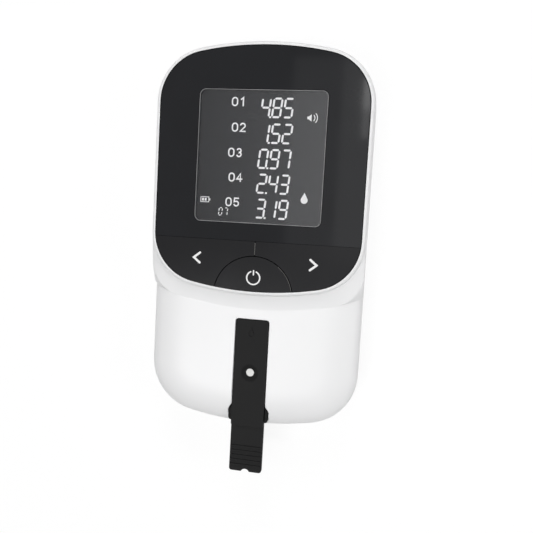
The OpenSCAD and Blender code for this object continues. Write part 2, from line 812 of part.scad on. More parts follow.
module tact_switches() {
    color(metal)
        for (s = switch_spots)
            difference() {
                translate([s.x - switch_w / 2, s.y - switch_w / 2, board_top])
                    cube([switch_w, switch_w, switch_h]);
                rod(s, plunger_d + 2 * fit_gap, plunger_top - plunger_l - key_travel - seat_gap, rim_z);
            }
}

board_hole_clear = 0.2;
board_pillar_clear = 0.3;
module main_board() {
    w = body_w - 2 * board_side;
    l = head_l + board_past - board_from_top;
    color(green) difference() {
        rounded_slab(0, down(board_from_top) - l / 2, w, l, board_r, board_z, board_top);
        both_sides([pillar_spots[0]]) cylinder(d = pillar_d + 2 * board_pillar_clear, h = rim_z);
        both_sides(post_spots) cylinder(d = small_screw_d + 2 * board_hole_clear, h = rim_z);
    }
}

// Packages on the board's upper side: x, distance below the key line, width and length
package_h = 1.2;
package_x = lcd_w / 2 + lcd_border + 3;
packages = [[-9, 5.2, 7, 7], [10, 5.7, 6, 6], [-package_x, -15.8, 5, 9]];
module board_chips() {
    color([0.1, 0.1, 0.1])
        for (p = packages)
            translate([p[0] - p[2] / 2, down(key_line_from_top + p[1]) - p[3] / 2, board_top])
                cube([p[2], p[3], package_h]);
}

buzzer_hole_d = 2;
buzzer_hole_h = 0.6;
module buzzer() {
    spot = [buzzer_x, down(buzzer_from_top)];
    color([0.12, 0.12, 0.12]) difference() {
        rod(spot, buzzer_d, board_z - buzzer_h, board_z);
        rod(spot, buzzer_hole_d, board_z - buzzer_h - cut, board_z - buzzer_h + buzzer_hole_h);
    }
}

// Metal shell of the data port with its tongue
port_skin = 0.4;
port_back = 1.2;
tongue_t = 0.7;
tongue_in = 1.5;
module data_port() {
    y1 = down(port_in);
    tongue_z = board_z - (port_h + tongue_t) / 2;
    color(metal) {
        difference() {
            slab(port_w, y1, y1 - port_l, board_z - port_h, board_z);
            slab(port_w - 2 * port_skin, y1 + cut, y1 - port_l + port_back, board_z - port_h + port_skin,
                board_z - port_skin);
        }
        slab(port_w - 2 * tongue_in, y1 - tongue_in, y1 - port_l + port_back / 2, tongue_z,
            tongue_z + tongue_t);
    }
}

sensor_r = 2;
module sensor_board() {
    color(green) difference() {
        rounded_slab(0, down(sensor_from_top + sensor_l / 2), sensor_w, sensor_l, sensor_r, sensor_z,
            optic_z);
        both_sides(sensor_spots) cylinder(d = small_screw_d + 2 * board_hole_clear, h = rim_z);
    }
}

// Block with four lamp bores round a sensor bore, and a recess for the clear plate
sensor_size = 3;
sensor_h = 1.2;
sensor_room = 0.6;
sensor_bore_d = 2.2;
lamp_z = optic_z + 1.4;
lamp_h = 2.6;
lamp_spots = [for (sx = [-1, 1], sy = [-1, 1]) [sx * lamp_off, well_y + sy * lamp_off]];
// Box on the sample well's axis
module well_slab(w, l, z1, z2) {
    slab(w, well_y + l / 2, well_y - l / 2, z1, z2);
}
module optical_head() {
    color(soft_black) difference() {
        union() {
            well_slab(optic_w, optic_l, optic_z, nose_z);
            well_slab(nose_w, nose_l, nose_z - cut, nose_top);
        }
        well_slab(glass_w + 2 * seat_gap, glass_w + 2 * seat_gap, nose_top - glass_t, rim_z);
        rod([0, well_y], sensor_bore_d, 0, rim_z);
        for (s = lamp_spots) rod(s, lamp_d + 2 * fit_gap, 0, rim_z);
        well_slab(sensor_size + 2 * sensor_room, sensor_size + 2 * sensor_room, 0, lamp_z);
    }
}

module lamps() {
    color([0.85, 0.9, 1]) for (s = lamp_spots) translate([s.x, s.y, lamp_z]) {
        cylinder(d = lamp_d, h = lamp_h);
        translate([0, 0, lamp_h]) sphere(d = lamp_d - 0.02);
    }
}

module light_sensor() {
    color([0.15, 0.15, 0.2]) well_slab(sensor_size, sensor_size, optic_z, optic_z + sensor_h);
}

module optical_window() {
    color([0.8, 0.85, 0.85, 0.5]) well_slab(glass_w, glass_w, nose_top - glass_t, nose_top);
}

// Tray for the card: floor, side walls, end stop and raised ears at the mouth, with slanted corners
mouth_slant = 0.9;
module card_holder() {
    color(soft_black) difference() {
        union() {
            slab(holder_w, down(holder_from_top), down(holder_end) + mouth_slant, holder_z, holder_wall_top);
            prism(ear_plan(holder_w / 2, 0, down(holder_end), mouth_slant), holder_z, ear_top);
        }
        slab(card_w + 2 * card_clear, down(card_from_top - card_clear), down(holder_end + cut),
            card_z - seat_gap, rim_z);
        rod([0, well_y], holder_bore_d, 0, rim_z);
    }
}

card_y = down(card_from_top);
tip_y = card_y - card_l;
ridge_in = 0.3;
ridge_z = card_base_top - seat_gap;
pad_ledge = 0.5;
notch_d = 3.4;
notch_l = 1;
module card_base() {
    color(soft_black) difference() {
        union() {
            rounded_slab(0, card_y - card_l / 2, card_w, card_l, card_corner_r, card_z, card_base_top);
            for (i = [0:ridge_count - 1])
                translate([ridge_in - card_w / 2, tip_y + ridge_from_tip + i * ridge_pitch, ridge_z])
                    cube([card_w - 2 * ridge_in, ridge_pitch / 2, ridge_h + seat_gap]);
        }
        // Seat of the reagent pad and the hole that the optics look through
        rod([0, well_y], 2 * (pad_r + fit_gap), card_base_top - pad_t, rim_z);
        rod([0, well_y], 2 * (pad_r - pad_ledge), 0, rim_z);
        // Notch in the tip
        rod([0, tip_y + notch_l - notch_d / 2], notch_d, 0, rim_z);
    }
}

well_lip = 0.2;
module card_cover() {
    color(soft_black) difference() {
        rounded_slab(0, card_y - card_cover_l / 2, card_w, card_cover_l, card_corner_r, card_base_top,
            card_top);
        translate([0, well_y, card_base_top]) rotate_extrude()
            polygon([[0, -cut], [well_hole_r, -cut], [well_hole_r, well_lip], [well_r, card_cover_t],
                [well_r, card_cover_t + cut], [0, card_cover_t + cut]]);
    }
}

module reagent_pad() {
    color("white") rod([0, well_y], 2 * pad_r, card_base_top - pad_t, card_base_top);
}

// Cells lie side by side, every other one turned round
function cell_x(i) = (i - (cell_count - 1) / 2) * cell_pitch;
function cell_turn(i) = i % 2 == 0 ? 1 : -1;
bay_mid_y = bay_y - bay_l / 2;
plus_y = bay_l / 2 - seat_gap - contact_t;
module per_cell() {
    for (i = [0:cell_count - 1])
        translate([cell_x(i), bay_mid_y, cell_z]) rotate([0, 0, cell_turn(i) > 0 ? 0 : 180]) children();
}

nub_d = 3.6;
nub_h = 0.8;
module battery_cells() {
    color([0.25, 0.3, 0.4]) per_cell() {
        translate([0, plus_y - nub_h, 0]) rotate([90, 0, 0]) cylinder(d = cell_d, h = cell_l - nub_h);
        translate([0, plus_y, 0]) rotate([90, 0, 0]) cylinder(d = nub_d, h = nub_h + cut);
    }
}

plate_in = 0.75;
module battery_contacts() {
    plate = cell_d - 2 * plate_in;
    color(metal) per_cell() {
        translate([-plate / 2, plus_y, -plate / 2]) cube([plate, contact_t, plate]);
        translate([-plate / 2, -bay_l / 2 + seat_gap, -plate / 2]) cube([plate, contact_t, plate]);
    }
}

// A battery spring is one wire wound on a cone, swept through rings of points along its helix
spring_sides = 6;
curl_rings = 8;
spring_wide = 3.7;
spring_narrow = 2.3;
spring_steps = spring_turns * curl_rings;
spring_rise = spring_room - wire_d - seat_gap;
function spring_at(u) =
    let (r = spring_wide + (spring_narrow - spring_wide) * u, t = 360 * spring_turns * u)
    [r * cos(t), spring_rise * u, r * sin(t)];
function spring_ring(k) =
    let (u = k / spring_steps, p = spring_at(u), t = 360 * spring_turns * u)
    [for (s = [0:spring_sides - 1]) let (q = 360 * s / spring_sides, c = cos(q) * wire_d / 2)
        [p.x + c * cos(t), p.y + sin(q) * wire_d / 2, p.z + c * sin(t)]];
spring_gap = min([for (a = [0:spring_steps], b = [0:spring_steps]) if (b - a >= curl_rings / 2)
    norm(spring_at(a / spring_steps) - spring_at(b / spring_steps))]) - wire_d;
echo(spring_gap = spring_gap);
module battery_springs() {
    color(metal) per_cell()
        translate([0, -bay_l / 2 + seat_gap + contact_t + wire_d / 2 + fit_gap, 0])
            loft([for (k = [0:spring_steps]) spring_ring(k)]);
}

// Chip and socket lie between the left side and the battery bay
socket_x2 = -door_w / 2 - door_gap - bay_wall - seat_gap;
socket_x1 = rear_round + 3 * seat_gap - half_w;
chip_x2 = socket_x2 - socket_back;
chip_x1 = seat_gap - half_w;
chip_y = down(chip_from_top) - chip_w / 2;
module code_chip() {
    color([0.2, 0.35, 0.6]) translate([chip_x1, chip_y, chip_z]) cube([chip_x2 - chip_x1, chip_w, chip_t]);
}

module chip_socket() {
    side = socket_wall + seat_gap;
    color(soft_black) difference() {
        translate([socket_x1, chip_y - side, floor_z])
            cube([socket_x2 - socket_x1, chip_w + 2 * side, chip_z - floor_z + chip_t + side]);
        translate([socket_x1 - cut, chip_y - seat_gap, chip_z - seat_gap])
            cube([chip_x2 - socket_x1 + cut + seat_gap, chip_w + 2 * seat_gap, chip_t + 2 * seat_gap]);
    }
}

// Screws with a cross recess; the case screws enter from the back, heads down
cross_w = 0.6;
module screw(d, head_d, head_h, length) {
    difference() {
        union() {
            translate([0, 0, -head_h]) cylinder(d = head_d, h = head_h);
            cylinder(d = d, h = length);
        }
        for (a = [0, 90]) rotate([0, 0, a])
            translate([-head_d / 3, -cross_w / 2, -head_h - cut])
                cube([2 * head_d / 3, cross_w, cut + head_h / 2]);
    }
}

module case_screws() {
    color(metal) both_sides(pillar_spots) translate([0, 0, screw_seat_z])
        screw(screw_d, screw_head_d, screw_head_h, screw_l);
}

module board_screws() {
    color(metal) {
        both_sides(post_spots) translate([0, 0, board_z])
            screw(small_screw_d, small_head_d, small_head_h, small_screw_l);
        both_sides(sensor_spots) translate([0, 0, optic_z]) mirror([0, 0, 1])
            screw(small_screw_d, small_head_d, small_head_h, small_screw_l);
    }
}

module rubber_feet() {
    color(soft_black) both_sides(foot_spots) cylinder(d = foot_d, h = foot_h + foot_seat);
}

front_cover();
rear_cover();
battery_door();
front_panel();
display_window();
lcd_glass();
lcd_frame();
backlight();
zebra_strips();
left_key();
right_key();
power_key();
left_plunger();
right_plunger();
power_plunger();
tact_switches();
main_board();
board_chips();
buzzer();
data_port();
sensor_board();
optical_head();
lamps();
light_sensor();
optical_window();
card_holder();
card_base();
card_cover();
reagent_pad();
battery_cells();
battery_springs();
battery_contacts();
code_chip();
chip_socket();
case_screws();
board_screws();
rubber_feet();
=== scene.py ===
"""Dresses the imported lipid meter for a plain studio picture.

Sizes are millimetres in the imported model's frame, where X runs across the meter, Y towards the top of the
display and Z up through it. Meshes are written in metres.
"""
import logging
from collections.abc import Callable, Sequence
from dataclasses import dataclass, field
from enum import Enum
from functools import cached_property

import bmesh
import bpy
import numpy as np
from mathutils import Matrix, Vector


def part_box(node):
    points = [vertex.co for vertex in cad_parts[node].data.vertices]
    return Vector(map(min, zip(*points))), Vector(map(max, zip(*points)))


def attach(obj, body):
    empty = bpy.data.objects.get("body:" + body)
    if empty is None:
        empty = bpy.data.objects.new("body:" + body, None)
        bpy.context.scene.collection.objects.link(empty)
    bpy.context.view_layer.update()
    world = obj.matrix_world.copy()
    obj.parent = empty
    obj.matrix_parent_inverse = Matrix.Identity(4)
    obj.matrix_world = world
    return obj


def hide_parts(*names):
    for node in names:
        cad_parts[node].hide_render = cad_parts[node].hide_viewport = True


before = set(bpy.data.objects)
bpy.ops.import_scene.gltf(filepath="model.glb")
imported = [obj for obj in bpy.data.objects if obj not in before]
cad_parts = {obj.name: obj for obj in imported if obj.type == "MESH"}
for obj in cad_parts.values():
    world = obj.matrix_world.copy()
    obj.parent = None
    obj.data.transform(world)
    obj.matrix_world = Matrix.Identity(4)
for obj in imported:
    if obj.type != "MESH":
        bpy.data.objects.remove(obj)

Piece = bpy.types.Object
Socket = bpy.types.NodeSocket

LOG = logging.getLogger("meter")
MM = 0.001
# How far a cutter reaches past what it cuts
OVER = 1.0
# Distance that keeps faces of solids which are joined or cut together from lying in one plane
APART = 0.1
# Swaps of axes that lay a piece made along Z along X or Y, and the one that turns it upside down
ALONG_X = Matrix(((0, 0, 1, 0), (1, 0, 0, 0), (0, 1, 0, 0), (0, 0, 0, 1)))
ALONG_Y = Matrix(((1, 0, 0, 0), (0, 0, 1, 0), (0, 1, 0, 0), (0, 0, 0, 1)))
DOWNWARDS = Matrix.Scale(-1, 4, (0, 0, 1))
WHITE = (1.0, 1.0, 1.0, 1.0)
# Roughness of every clear coat, and strength of every fine relief
COAT_ROUGHNESS = 0.06
RELIEF_STRENGTH = 0.6
# Materials that are made already
MADE: dict["Finish", bpy.types.Material] = {}


# Plans and profiles


def arc(centre: tuple[float, float], radius: float, start: float, stop: float, steps: int) -> np.ndarray:
    """Points of an arc: the centre plus the radius times the cosine and sine of evenly spaced angles.

    Args:
        centre: Centre of the arc.
        radius: Its radius.
        start: First angle, in degrees.
        stop: Last angle, in degrees.
        steps: Number of steps between them.

    Returns:
        An array of steps + 1 points.
    """
    turn = np.radians(np.linspace(start, stop, steps + 1))
    return np.column_stack([centre[0] + radius * np.cos(turn), centre[1] + radius * np.sin(turn)])


def bowed_plan(
    half: float, high: float, low: float, r_high: float, r_low: float, bow: float, steps: int = 22
) -> np.ndarray:
    """Plan with straight sides and bowed ends: each corner's arc touches the side and, from inside, the bow.

    The corner's centre lies half - r from the middle line, and bow - sqrt((bow - r)^2 - (half - r)^2) from
    the end's crown.

    Args:
        half: Half the width.
        high: Y of the upper end's crown.
        low: Y of the lower end's crown.
        r_high: Radius of the upper corners.
        r_low: Radius of the lower corners.
        bow: Radius of the bowed ends.
        steps: Steps along each of the eight arcs.

    Returns:
        A closed outline that runs clockwise from the upper crown.
    """
    def corner(radius: float) -> tuple[float, float]:
        """Distance of a corner's centre from the crown, and the bow's turn up to its arc."""
        depth = bow - np.sqrt((bow - radius) ** 2 - (half - radius) ** 2)
        return depth, float(np.degrees(np.arcsin((half - radius) / (bow - radius))))

    (depth_high, turn_high), (depth_low, turn_low) = corner(r_high), corner(r_low)
    right = np.vstack([
        arc((0, high - bow), bow, 90, 90 - turn_high, steps),
        arc((half - r_high, high - depth_high), r_high, 90 - turn_high, 0, steps)[1:],
        arc((half - r_low, low + depth_low), r_low, 0, turn_low - 90, steps),
        arc((0, low + bow), bow, turn_low - 90, -90, steps)[1:],
    ])
    return np.vstack([right, right[-2:0:-1] * [-1, 1]])


def round_rect(
    centre: tuple[float, float], width: float, length: float, radius: float, steps: int = 8
) -> np.ndarray:
    """Rectangle whose four corners are quarter arcs.

    Args:
        centre: Its centre.
        width: Size along the first axis.
        length: Size along the second axis.
        radius: Radius of the corners.
        steps: Steps along each quarter arc.

    Returns:
        A closed outline.
    """
    x, y = width / 2 - radius, length / 2 - radius
    corners = [((x, y), 0), ((-x, y), 90), ((-x, -y), 180), ((x, -y), 270)]
    return np.vstack([arc(c, radius, a, a + 90, steps) for c, a in corners]) + np.array(centre)


def circle(centre: tuple[float, float], diameter: float, steps: int = 64) -> np.ndarray:
    """Closed outline of a circle."""
    return arc(centre, diameter / 2, 0, 360, steps)[:-1]


def rectangle(x1: float, x2: float, y1: float, y2: float) -> np.ndarray:
    """Closed outline of a plain rectangle."""
    return np.array([(x1, y1), (x2, y1), (x2, y2), (x1, y2)], float)


def inset(outline: np.ndarray, depth: float) -> np.ndarray:
    """Outline moved inwards: each point moves along the mitre of its two edges' inward normals.

    The mitre is (n1 + n2) / (1 + n1.n2), so that both edges move by the same depth.

    Args:
        outline: Closed outline, either way round.
        depth: Distance inwards, or outwards where it is negative.

    Returns:
        The moved outline, with as many points.
    """
    after, before = np.roll(outline, -1, 0), np.roll(outline, 1, 0)
    area = np.sum(outline[:, 0] * after[:, 1] - after[:, 0] * outline[:, 1])

    def normal(edge: np.ndarray) -> np.ndarray:
        """Inward unit normals of edges."""
        unit = edge / np.linalg.norm(edge, axis=1, keepdims=True)
        return np.sign(area) * np.column_stack([-unit[:, 1], unit[:, 0]])

    n1, n2 = normal(outline - before), normal(after - outline)
    mitre = (n1 + n2) / np.maximum(1 + np.sum(n1 * n2, 1, keepdims=True), 0.2)
    return outline + depth * mitre


def clip(outline: np.ndarray, limit: float, keep_above: bool) -> np.ndarray:
    """Part of a convex outline above or below the line y = limit.

    Args:
        outline: Closed convex outline.
        limit: Place of the line.
        keep_above: Whether the part with the higher Y stays.

    Returns:
        The clipped outline, with a point where the line crosses each edge.
    """
    side = (outline[:, 1] - limit) * (1 if keep_above else -1)
    after, side_after = np.roll(outline, -1, 0), np.roll(side, -1)
    crossing = side * side_after < 0
    share = side / np.where(crossing, side - side_after, 1)
    cut = outline + share[:, None] * (after - outline)
    both = np.stack([outline, cut], 1).reshape(-1, 2)
    return both[np.stack([side >= 0, crossing], 1).reshape(-1)]


def inside(outline: np.ndarray, points: np.ndarray, slack: float) -> np.ndarray:
    """Which points lie in a convex outline: their distances inwards from all its edges' lines are positive.

    Args:
        outline: Closed convex outline, either way round.
        points: Plan points.
        slack: How far outside a point may lie and still count.

    Returns:
        One truth value a point.
    """
    edge = np.roll(outline, -1, 0) - outline
    reach = points[:, None] - outline
    depth = (edge[:, 0] * reach[:, :, 1] - edge[:, 1] * reach[:, :, 0]) / np.linalg.norm(edge, axis=1)
    turn = np.sign(np.sum(outline[:, 0] * edge[:, 1] - outline[:, 1] * edge[:, 0]))
    return (depth * turn > -slack).all(1)


def ribbon(path: np.ndarray, width: float, cap_steps: int = 6) -> np.ndarray:
    """Outline of a stroke: the path moved by half the width to both sides, closed by two round ends.

    Args:
        path: Points of the stroke's middle line, in order.
        width: Width of the stroke.
        cap_steps: Steps round each end.

    Returns:
        A closed outline.
    """
    edge = np.diff(path, axis=0)
    unit = edge / np.linalg.norm(edge, axis=1, keepdims=True)
    normal = np.column_stack([-unit[:, 1], unit[:, 0]])
    n1, n2 = np.vstack([normal[:1], normal]), np.vstack([normal, normal[-1:]])
    mitre = (n1 + n2) / np.maximum(1 + np.sum(n1 * n2, 1, keepdims=True), 0.4) * width / 2
    first, last = (float(np.degrees(np.arctan2(n[1], n[0]))) for n in (normal[0], normal[-1]))
    return np.vstack([
        (path + mitre)[:-1],
        arc(tuple(path[-1]), width / 2, last, last - 180, cap_steps),
        (path - mitre)[-2:0:-1],
        arc(tuple(path[0]), width / 2, first + 180, first, cap_steps)[:-1],
    ])


def lift(outline: np.ndarray, level: float | np.ndarray) -> np.ndarray:
    """Plan points at a level, or each at its own level."""
    return np.column_stack([outline, np.broadcast_to(level, len(outline))])


# Meshes


def linked(name: str, data: bpy.types.ID) -> Piece:
    """New object of the scene that holds a mesh, a lamp or a camera.

    Args:
        name: Name of the object.
        data: The mesh, lamp or camera.

    Returns:
        The new object.
    """
    thing = bpy.data.objects.new(name, data)
    bpy.context.scene.collection.objects.link(thing)
    return thing


def new_piece(name: str, points: np.ndarray, faces: Sequence) -> Piece:
    """Object at the origin whose mesh has these points, given in millimetres, and these faces.

    Args:
        name: Name of the object and its mesh.
        points: Three numbers a point.
        faces: Numbers of each face's points.

    Returns:
        The new object.
    """
    mesh = bpy.data.meshes.new(name)
    mesh.from_pydata((np.asarray(points, float) * MM).tolist(), [], [list(map(int, f)) for f in faces])
    return linked(name, mesh)


def edit(piece: Piece, change: Callable[[bmesh.types.BMesh], None]) -> Piece:
    """Runs a change on a piece's mesh.

    Args:
        piece: The object whose mesh changes.
        change: Function that works on the mesh.

    Returns:
        The same piece.
    """
    work = bmesh.new()
    work.from_mesh(piece.data)
    change(work)
    work.to_mesh(piece.data)
    work.free()
    return piece


def face_outwards(work: bmesh.types.BMesh) -> None:
    """Merges points that lie on each other and turns the faces outwards."""
    bmesh.ops.remove_doubles(work, verts=work.verts, dist=1e-7)
    bmesh.ops.recalc_face_normals(work, faces=work.faces)


def ring_faces(rings: int, count: int) -> np.ndarray:
    """Quads between rings of points: each joins two neighbours of a ring with the next ring's.

    Args:
        rings: Number of rings.
        count: Points in a ring.

    Returns:
        An array of four point numbers a face.
    """
    row = np.arange(rings - 1)[:, None] * count
    here = np.arange(count)
    ahead = (here + 1) % count
    up = row + count
    return np.stack([row + here, row + ahead, up + ahead, up + here], -1).reshape(-1, 4)


def loft(name: str, rings: Sequence[np.ndarray]) -> Piece:
    """Closed solid through rings of points, with a flat face on the first and on the last.

    Args:
        name: Name of the object.
        rings: Rings with as many points each, as points of three numbers.

    Returns:
        The new object, its faces outwards.
    """
    count = len(rings[0])
    faces = ring_faces(len(rings), count).tolist()
    last = (len(rings) - 1) * count
    faces += [list(range(count)), list(range(last, last + count))]
    return edit(new_piece(name, np.vstack(rings), faces), face_outwards)


def prism(
    name: str, outline: np.ndarray, low: float, high: float, round_low: float = 0.0, round_high: float = 0.0,
    steps: int = 4,
) -> Piece:
    """Upright solid over an outline, with quarter-round edges: inset r (1 - sin t) at height r (1 - cos t).

    Args:
        name: Name of the object.
        outline: Its plan.
        low: Level of its lower face.
        high: Level of its upper face.
        round_low: Radius of the lower edge.
        round_high: Radius of the upper edge.
        steps: Steps round each edge.

    Returns:
        The new object.
    """
    turn = np.linspace(0, np.pi / 2, steps + 1)
    rings = []
    if round_low:
        rings += [lift(inset(outline, round_low * (1 - np.sin(t))), low + round_low * (1 - np.cos(t)))
                  for t in turn]
    else:
        rings.append(lift(outline, low))
    if round_high:
        rings += [lift(inset(outline, round_high * (1 - np.cos(t))), high - round_high * (1 - np.sin(t)))
                  for t in turn]
    else:
        rings.append(lift(outline, high))
    return loft(name, rings)


def flared(
    outline: np.ndarray, low: float, top: float | Callable[[np.ndarray], np.ndarray], radius: float,
    above: float, steps: int = 4,
) -> Piece:
    """Cutter that leaves a rounded edge: it widens by r (1 - cos t) over the last r below the surface.

    Args:
        outline: Plan of the cut.
        low: Level of the cutter's lower face.
        top: Level of the surface that is cut, or a function that gives it at each point of a plan.
        radius: Radius of the edge that it leaves.
        above: Level at which the cutter ends.
        steps: Steps round the edge.

    Returns:
        The cutter.
    """
    def surface(points: np.ndarray) -> np.ndarray:
        """Levels of the surface that is cut, at points of a plan."""
        level = top(points) if callable(top) else np.full(len(points), float(top))
        return np.maximum(level, low + 2 * radius)

    rings = [lift(outline, low)]
    for t in np.linspace(0, np.radians(80), steps + 1):
        wide = inset(outline, -radius * (1 - np.cos(t)))
        rings.append(lift(wide, surface(wide) - radius * (1 - np.sin(t))))
    rings.append(lift(inset(outline, -radius * 1.3), above))
    return loft("cutter", rings)


def block(x1: float, x2: float, y1: float, y2: float, z1: float, z2: float) -> Piece:
    """Plain box, for cutting and joining only."""
    return prism("cutter", rectangle(x1, x2, y1, y2), z1, z2)


def rod(spot: Sequence[float], diameter: float, low: float, high: float) -> Piece:
    """Plain upright cylinder, for cutting and joining only."""
    return prism("cutter", circle((spot[0], spot[1]), diameter), low, high)


def revolve(name: str, profile: np.ndarray, sides: int = 64) -> Piece:
    """Solid of revolution about Z: each point (r, z) of the profile becomes a ring of radius r at level z.

    Args:
        name: Name of the object.
        profile: Points from the lower end of the axis to the upper one.
        sides: Points in each ring.

    Returns:
        The new object, with the ends on the axis closed.
    """
    return loft(name, [lift(circle((0, 0), 2 * max(r, 1e-3), sides), z) for r, z in profile])


def laid(piece: Piece, way: Matrix) -> Piece:
    """Turns or mirrors a piece's mesh about the origin, with its faces outwards again."""
    piece.data.transform(way)
    return edit(piece, face_outwards)


def dent(outline: np.ndarray, face: float, high: float, radius: float) -> Piece:
    """Cutter that goes up into a flat underside and leaves a rounded edge there.

    Args:
        outline: Plan of the cut.
        face: Level of the underside.
        high: Level to which it goes.
        radius: Radius of the edge that it leaves.

    Returns:
        The cutter.
    """
    return laid(flared(outline, -high, -face, radius, -face + OVER), DOWNWARDS)


def moved(piece: Piece, matrix: Matrix) -> Piece:
    """Applies a transform in millimetres to a piece's mesh.

    Args:
        piece: The piece that moves.
        matrix: The transform.

    Returns:
        The same piece.
    """
    place = matrix.copy()
    place.translation *= MM
    piece.data.transform(place)
    return piece


def placed(piece: Piece, x: float, y: float, z: float) -> Piece:
    """Moves a piece's mesh by a distance."""
    return moved(piece, Matrix.Translation((x, y, z)))


def joined(name: str, pieces: Sequence[Piece]) -> Piece:
    """One object that holds the meshes of several, which are removed. Material numbers are kept.

    Args:
        name: Name of the new object.
        pieces: Pieces to put together.

    Returns:
        The new object.
    """
    work = bmesh.new()
    for piece in pieces:
        work.from_mesh(piece.data)
        discard(piece)
    mesh = bpy.data.meshes.new(name)
    work.to_mesh(mesh)
    work.free()
    return linked(name, mesh)


def discard(piece: Piece) -> None:
    """Removes a piece and its mesh.

    Args:
        piece: The piece that goes.
    """
    mesh = piece.data
    bpy.data.objects.remove(piece)
    bpy.data.meshes.remove(mesh)


def bake(piece: Piece) -> Piece:
    """Makes a piece's modifiers part of its mesh.

    Args:
        piece: The piece with its modifiers.

    Returns:
        The same piece, without modifiers.
    """
    graph = bpy.context.evaluated_depsgraph_get()
    mesh = bpy.data.meshes.new_from_object(piece.evaluated_get(graph))
    piece.modifiers.clear()
    old = piece.data
    piece.data = mesh
    mesh.name = old.name
    bpy.data.meshes.remove(old)
    return piece


class Carve(Enum):
    """What one solid does to another."""

    ADD = "UNION"
    CUT = "DIFFERENCE"
    KEEP = "INTERSECT"


def carve(piece: Piece, how: Carve, tools: Sequence[Piece]) -> Piece:
    """Adds tools to a solid, cuts them away or keeps what they share, and removes the tools.

    Args:
        piece: The solid that changes.
        how: What the tools do to it.
        tools: Closed solids.

    Returns:
        The changed solid.

    Raises:
        RuntimeError: If nothing of the solid is left.
    """
    for tool in tools:
        change = piece.modifiers.new("carve", "BOOLEAN")
        change.operation = how.value
        change.solver = "MANIFOLD"
        change.object = tool
    bake(piece)
    if not piece.data.polygons:
        raise RuntimeError(f"{piece.name} is lost in {how.name}")
    for tool in tools:
        discard(tool)
    return piece


def polish(piece: Piece, angle: float = 32.0) -> Piece:
    """Cleans a finished mesh and shades it smooth, with the edges above an angle kept sharp.

    Args:
        piece: The finished solid.
        angle: Angle between two faces, in degrees, from which their edge stays sharp.

    Returns:
        The same piece.
    """
    def clean(work: bmesh.types.BMesh) -> None:
        """Merges points that lie on each other and removes faces without an area."""
        bmesh.ops.remove_doubles(work, verts=work.verts, dist=1e-6)
        bmesh.ops.dissolve_degenerate(work, edges=work.edges, dist=1e-6)

    edit(piece, clean)
    piece.data.shade_smooth()
    piece.data.set_sharp_from_angle(angle=np.radians(angle))
    weight = piece.modifiers.new("normals", "WEIGHTED_NORMAL")
    weight.keep_sharp = True
    return bake(piece)


def face_centres(piece: Piece) -> np.ndarray:
    """Middles of a piece's faces, in millimetres.

    Args:
        piece: The piece.

    Returns:
        Three numbers a face.
    """
    centres = np.zeros(len(piece.data.polygons) * 3)
    piece.data.polygons.foreach_get("center", centres)
    return centres.reshape(-1, 3) / MM


def second_finish(piece: Piece, chosen: np.ndarray) -> None:
    """Gives the chosen faces the second of a piece's finishes, and the others the first."""
    piece.data.polygons.foreach_set("material_index", chosen.astype(np.int32))


def mirrored(spots: Sequence[Sequence[float]]) -> list[tuple[float, float]]:
    """Each spot and its mirror image in the middle plane."""
    return [(side * x, y) for x, y in spots for side in (1, -1)]


@dataclass(frozen=True)
class Span:
    """Box of a CAD node, in millimetres."""

    low: Vector
    high: Vector

    @classmethod
    def of(cls, node: str) -> "Span":
        """Box of a node, read from the frame."""
        low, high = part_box(node)
        return cls(low / MM, high / MM)

    @property
    def centre(self) -> Vector:
        """Middle of the box."""
        return (self.low + self.high) / 2

    @property
    def size(self) -> Vector:
        """Sizes of the box."""
        return self.high - self.low

    @property
    def plan(self) -> tuple[tuple[float, float], float, float]:
        """Centre, width and length seen from above."""
        return (self.centre.x, self.centre.y), self.size.x, self.size.y

    @property
    def side_plan(self) -> tuple[tuple[float, float], float, float]:
        """Centre, length and height seen from the side."""
        return (self.centre.y, self.centre.z), self.size.y, self.size.z

    def corners(self, dx: float, dy: float) -> list[tuple[float, float]]:
        """Four places, each at a distance in from one corner of the plan."""
        return mirrored([(self.high.x - dx, self.high.y - dy), (self.high.x - dx, self.low.y + dy)])

    def opening(self, dx: float, dy: float, low: float, high: float) -> Piece:
        """Block between two levels over the plan, wider and longer than it on each side."""
        return block(self.low.x - dx, self.high.x + dx, self.low.y - dy, self.high.y + dy, low, high)


# Finishes


class Grain(Enum):
    """Ways in which a surface's fine texture runs."""

    EVEN = (1.0, 1.0, 1.0)
    ACROSS = (0.06, 1.0, 1.0)
    ALONG = (1.0, 0.06, 1.0)


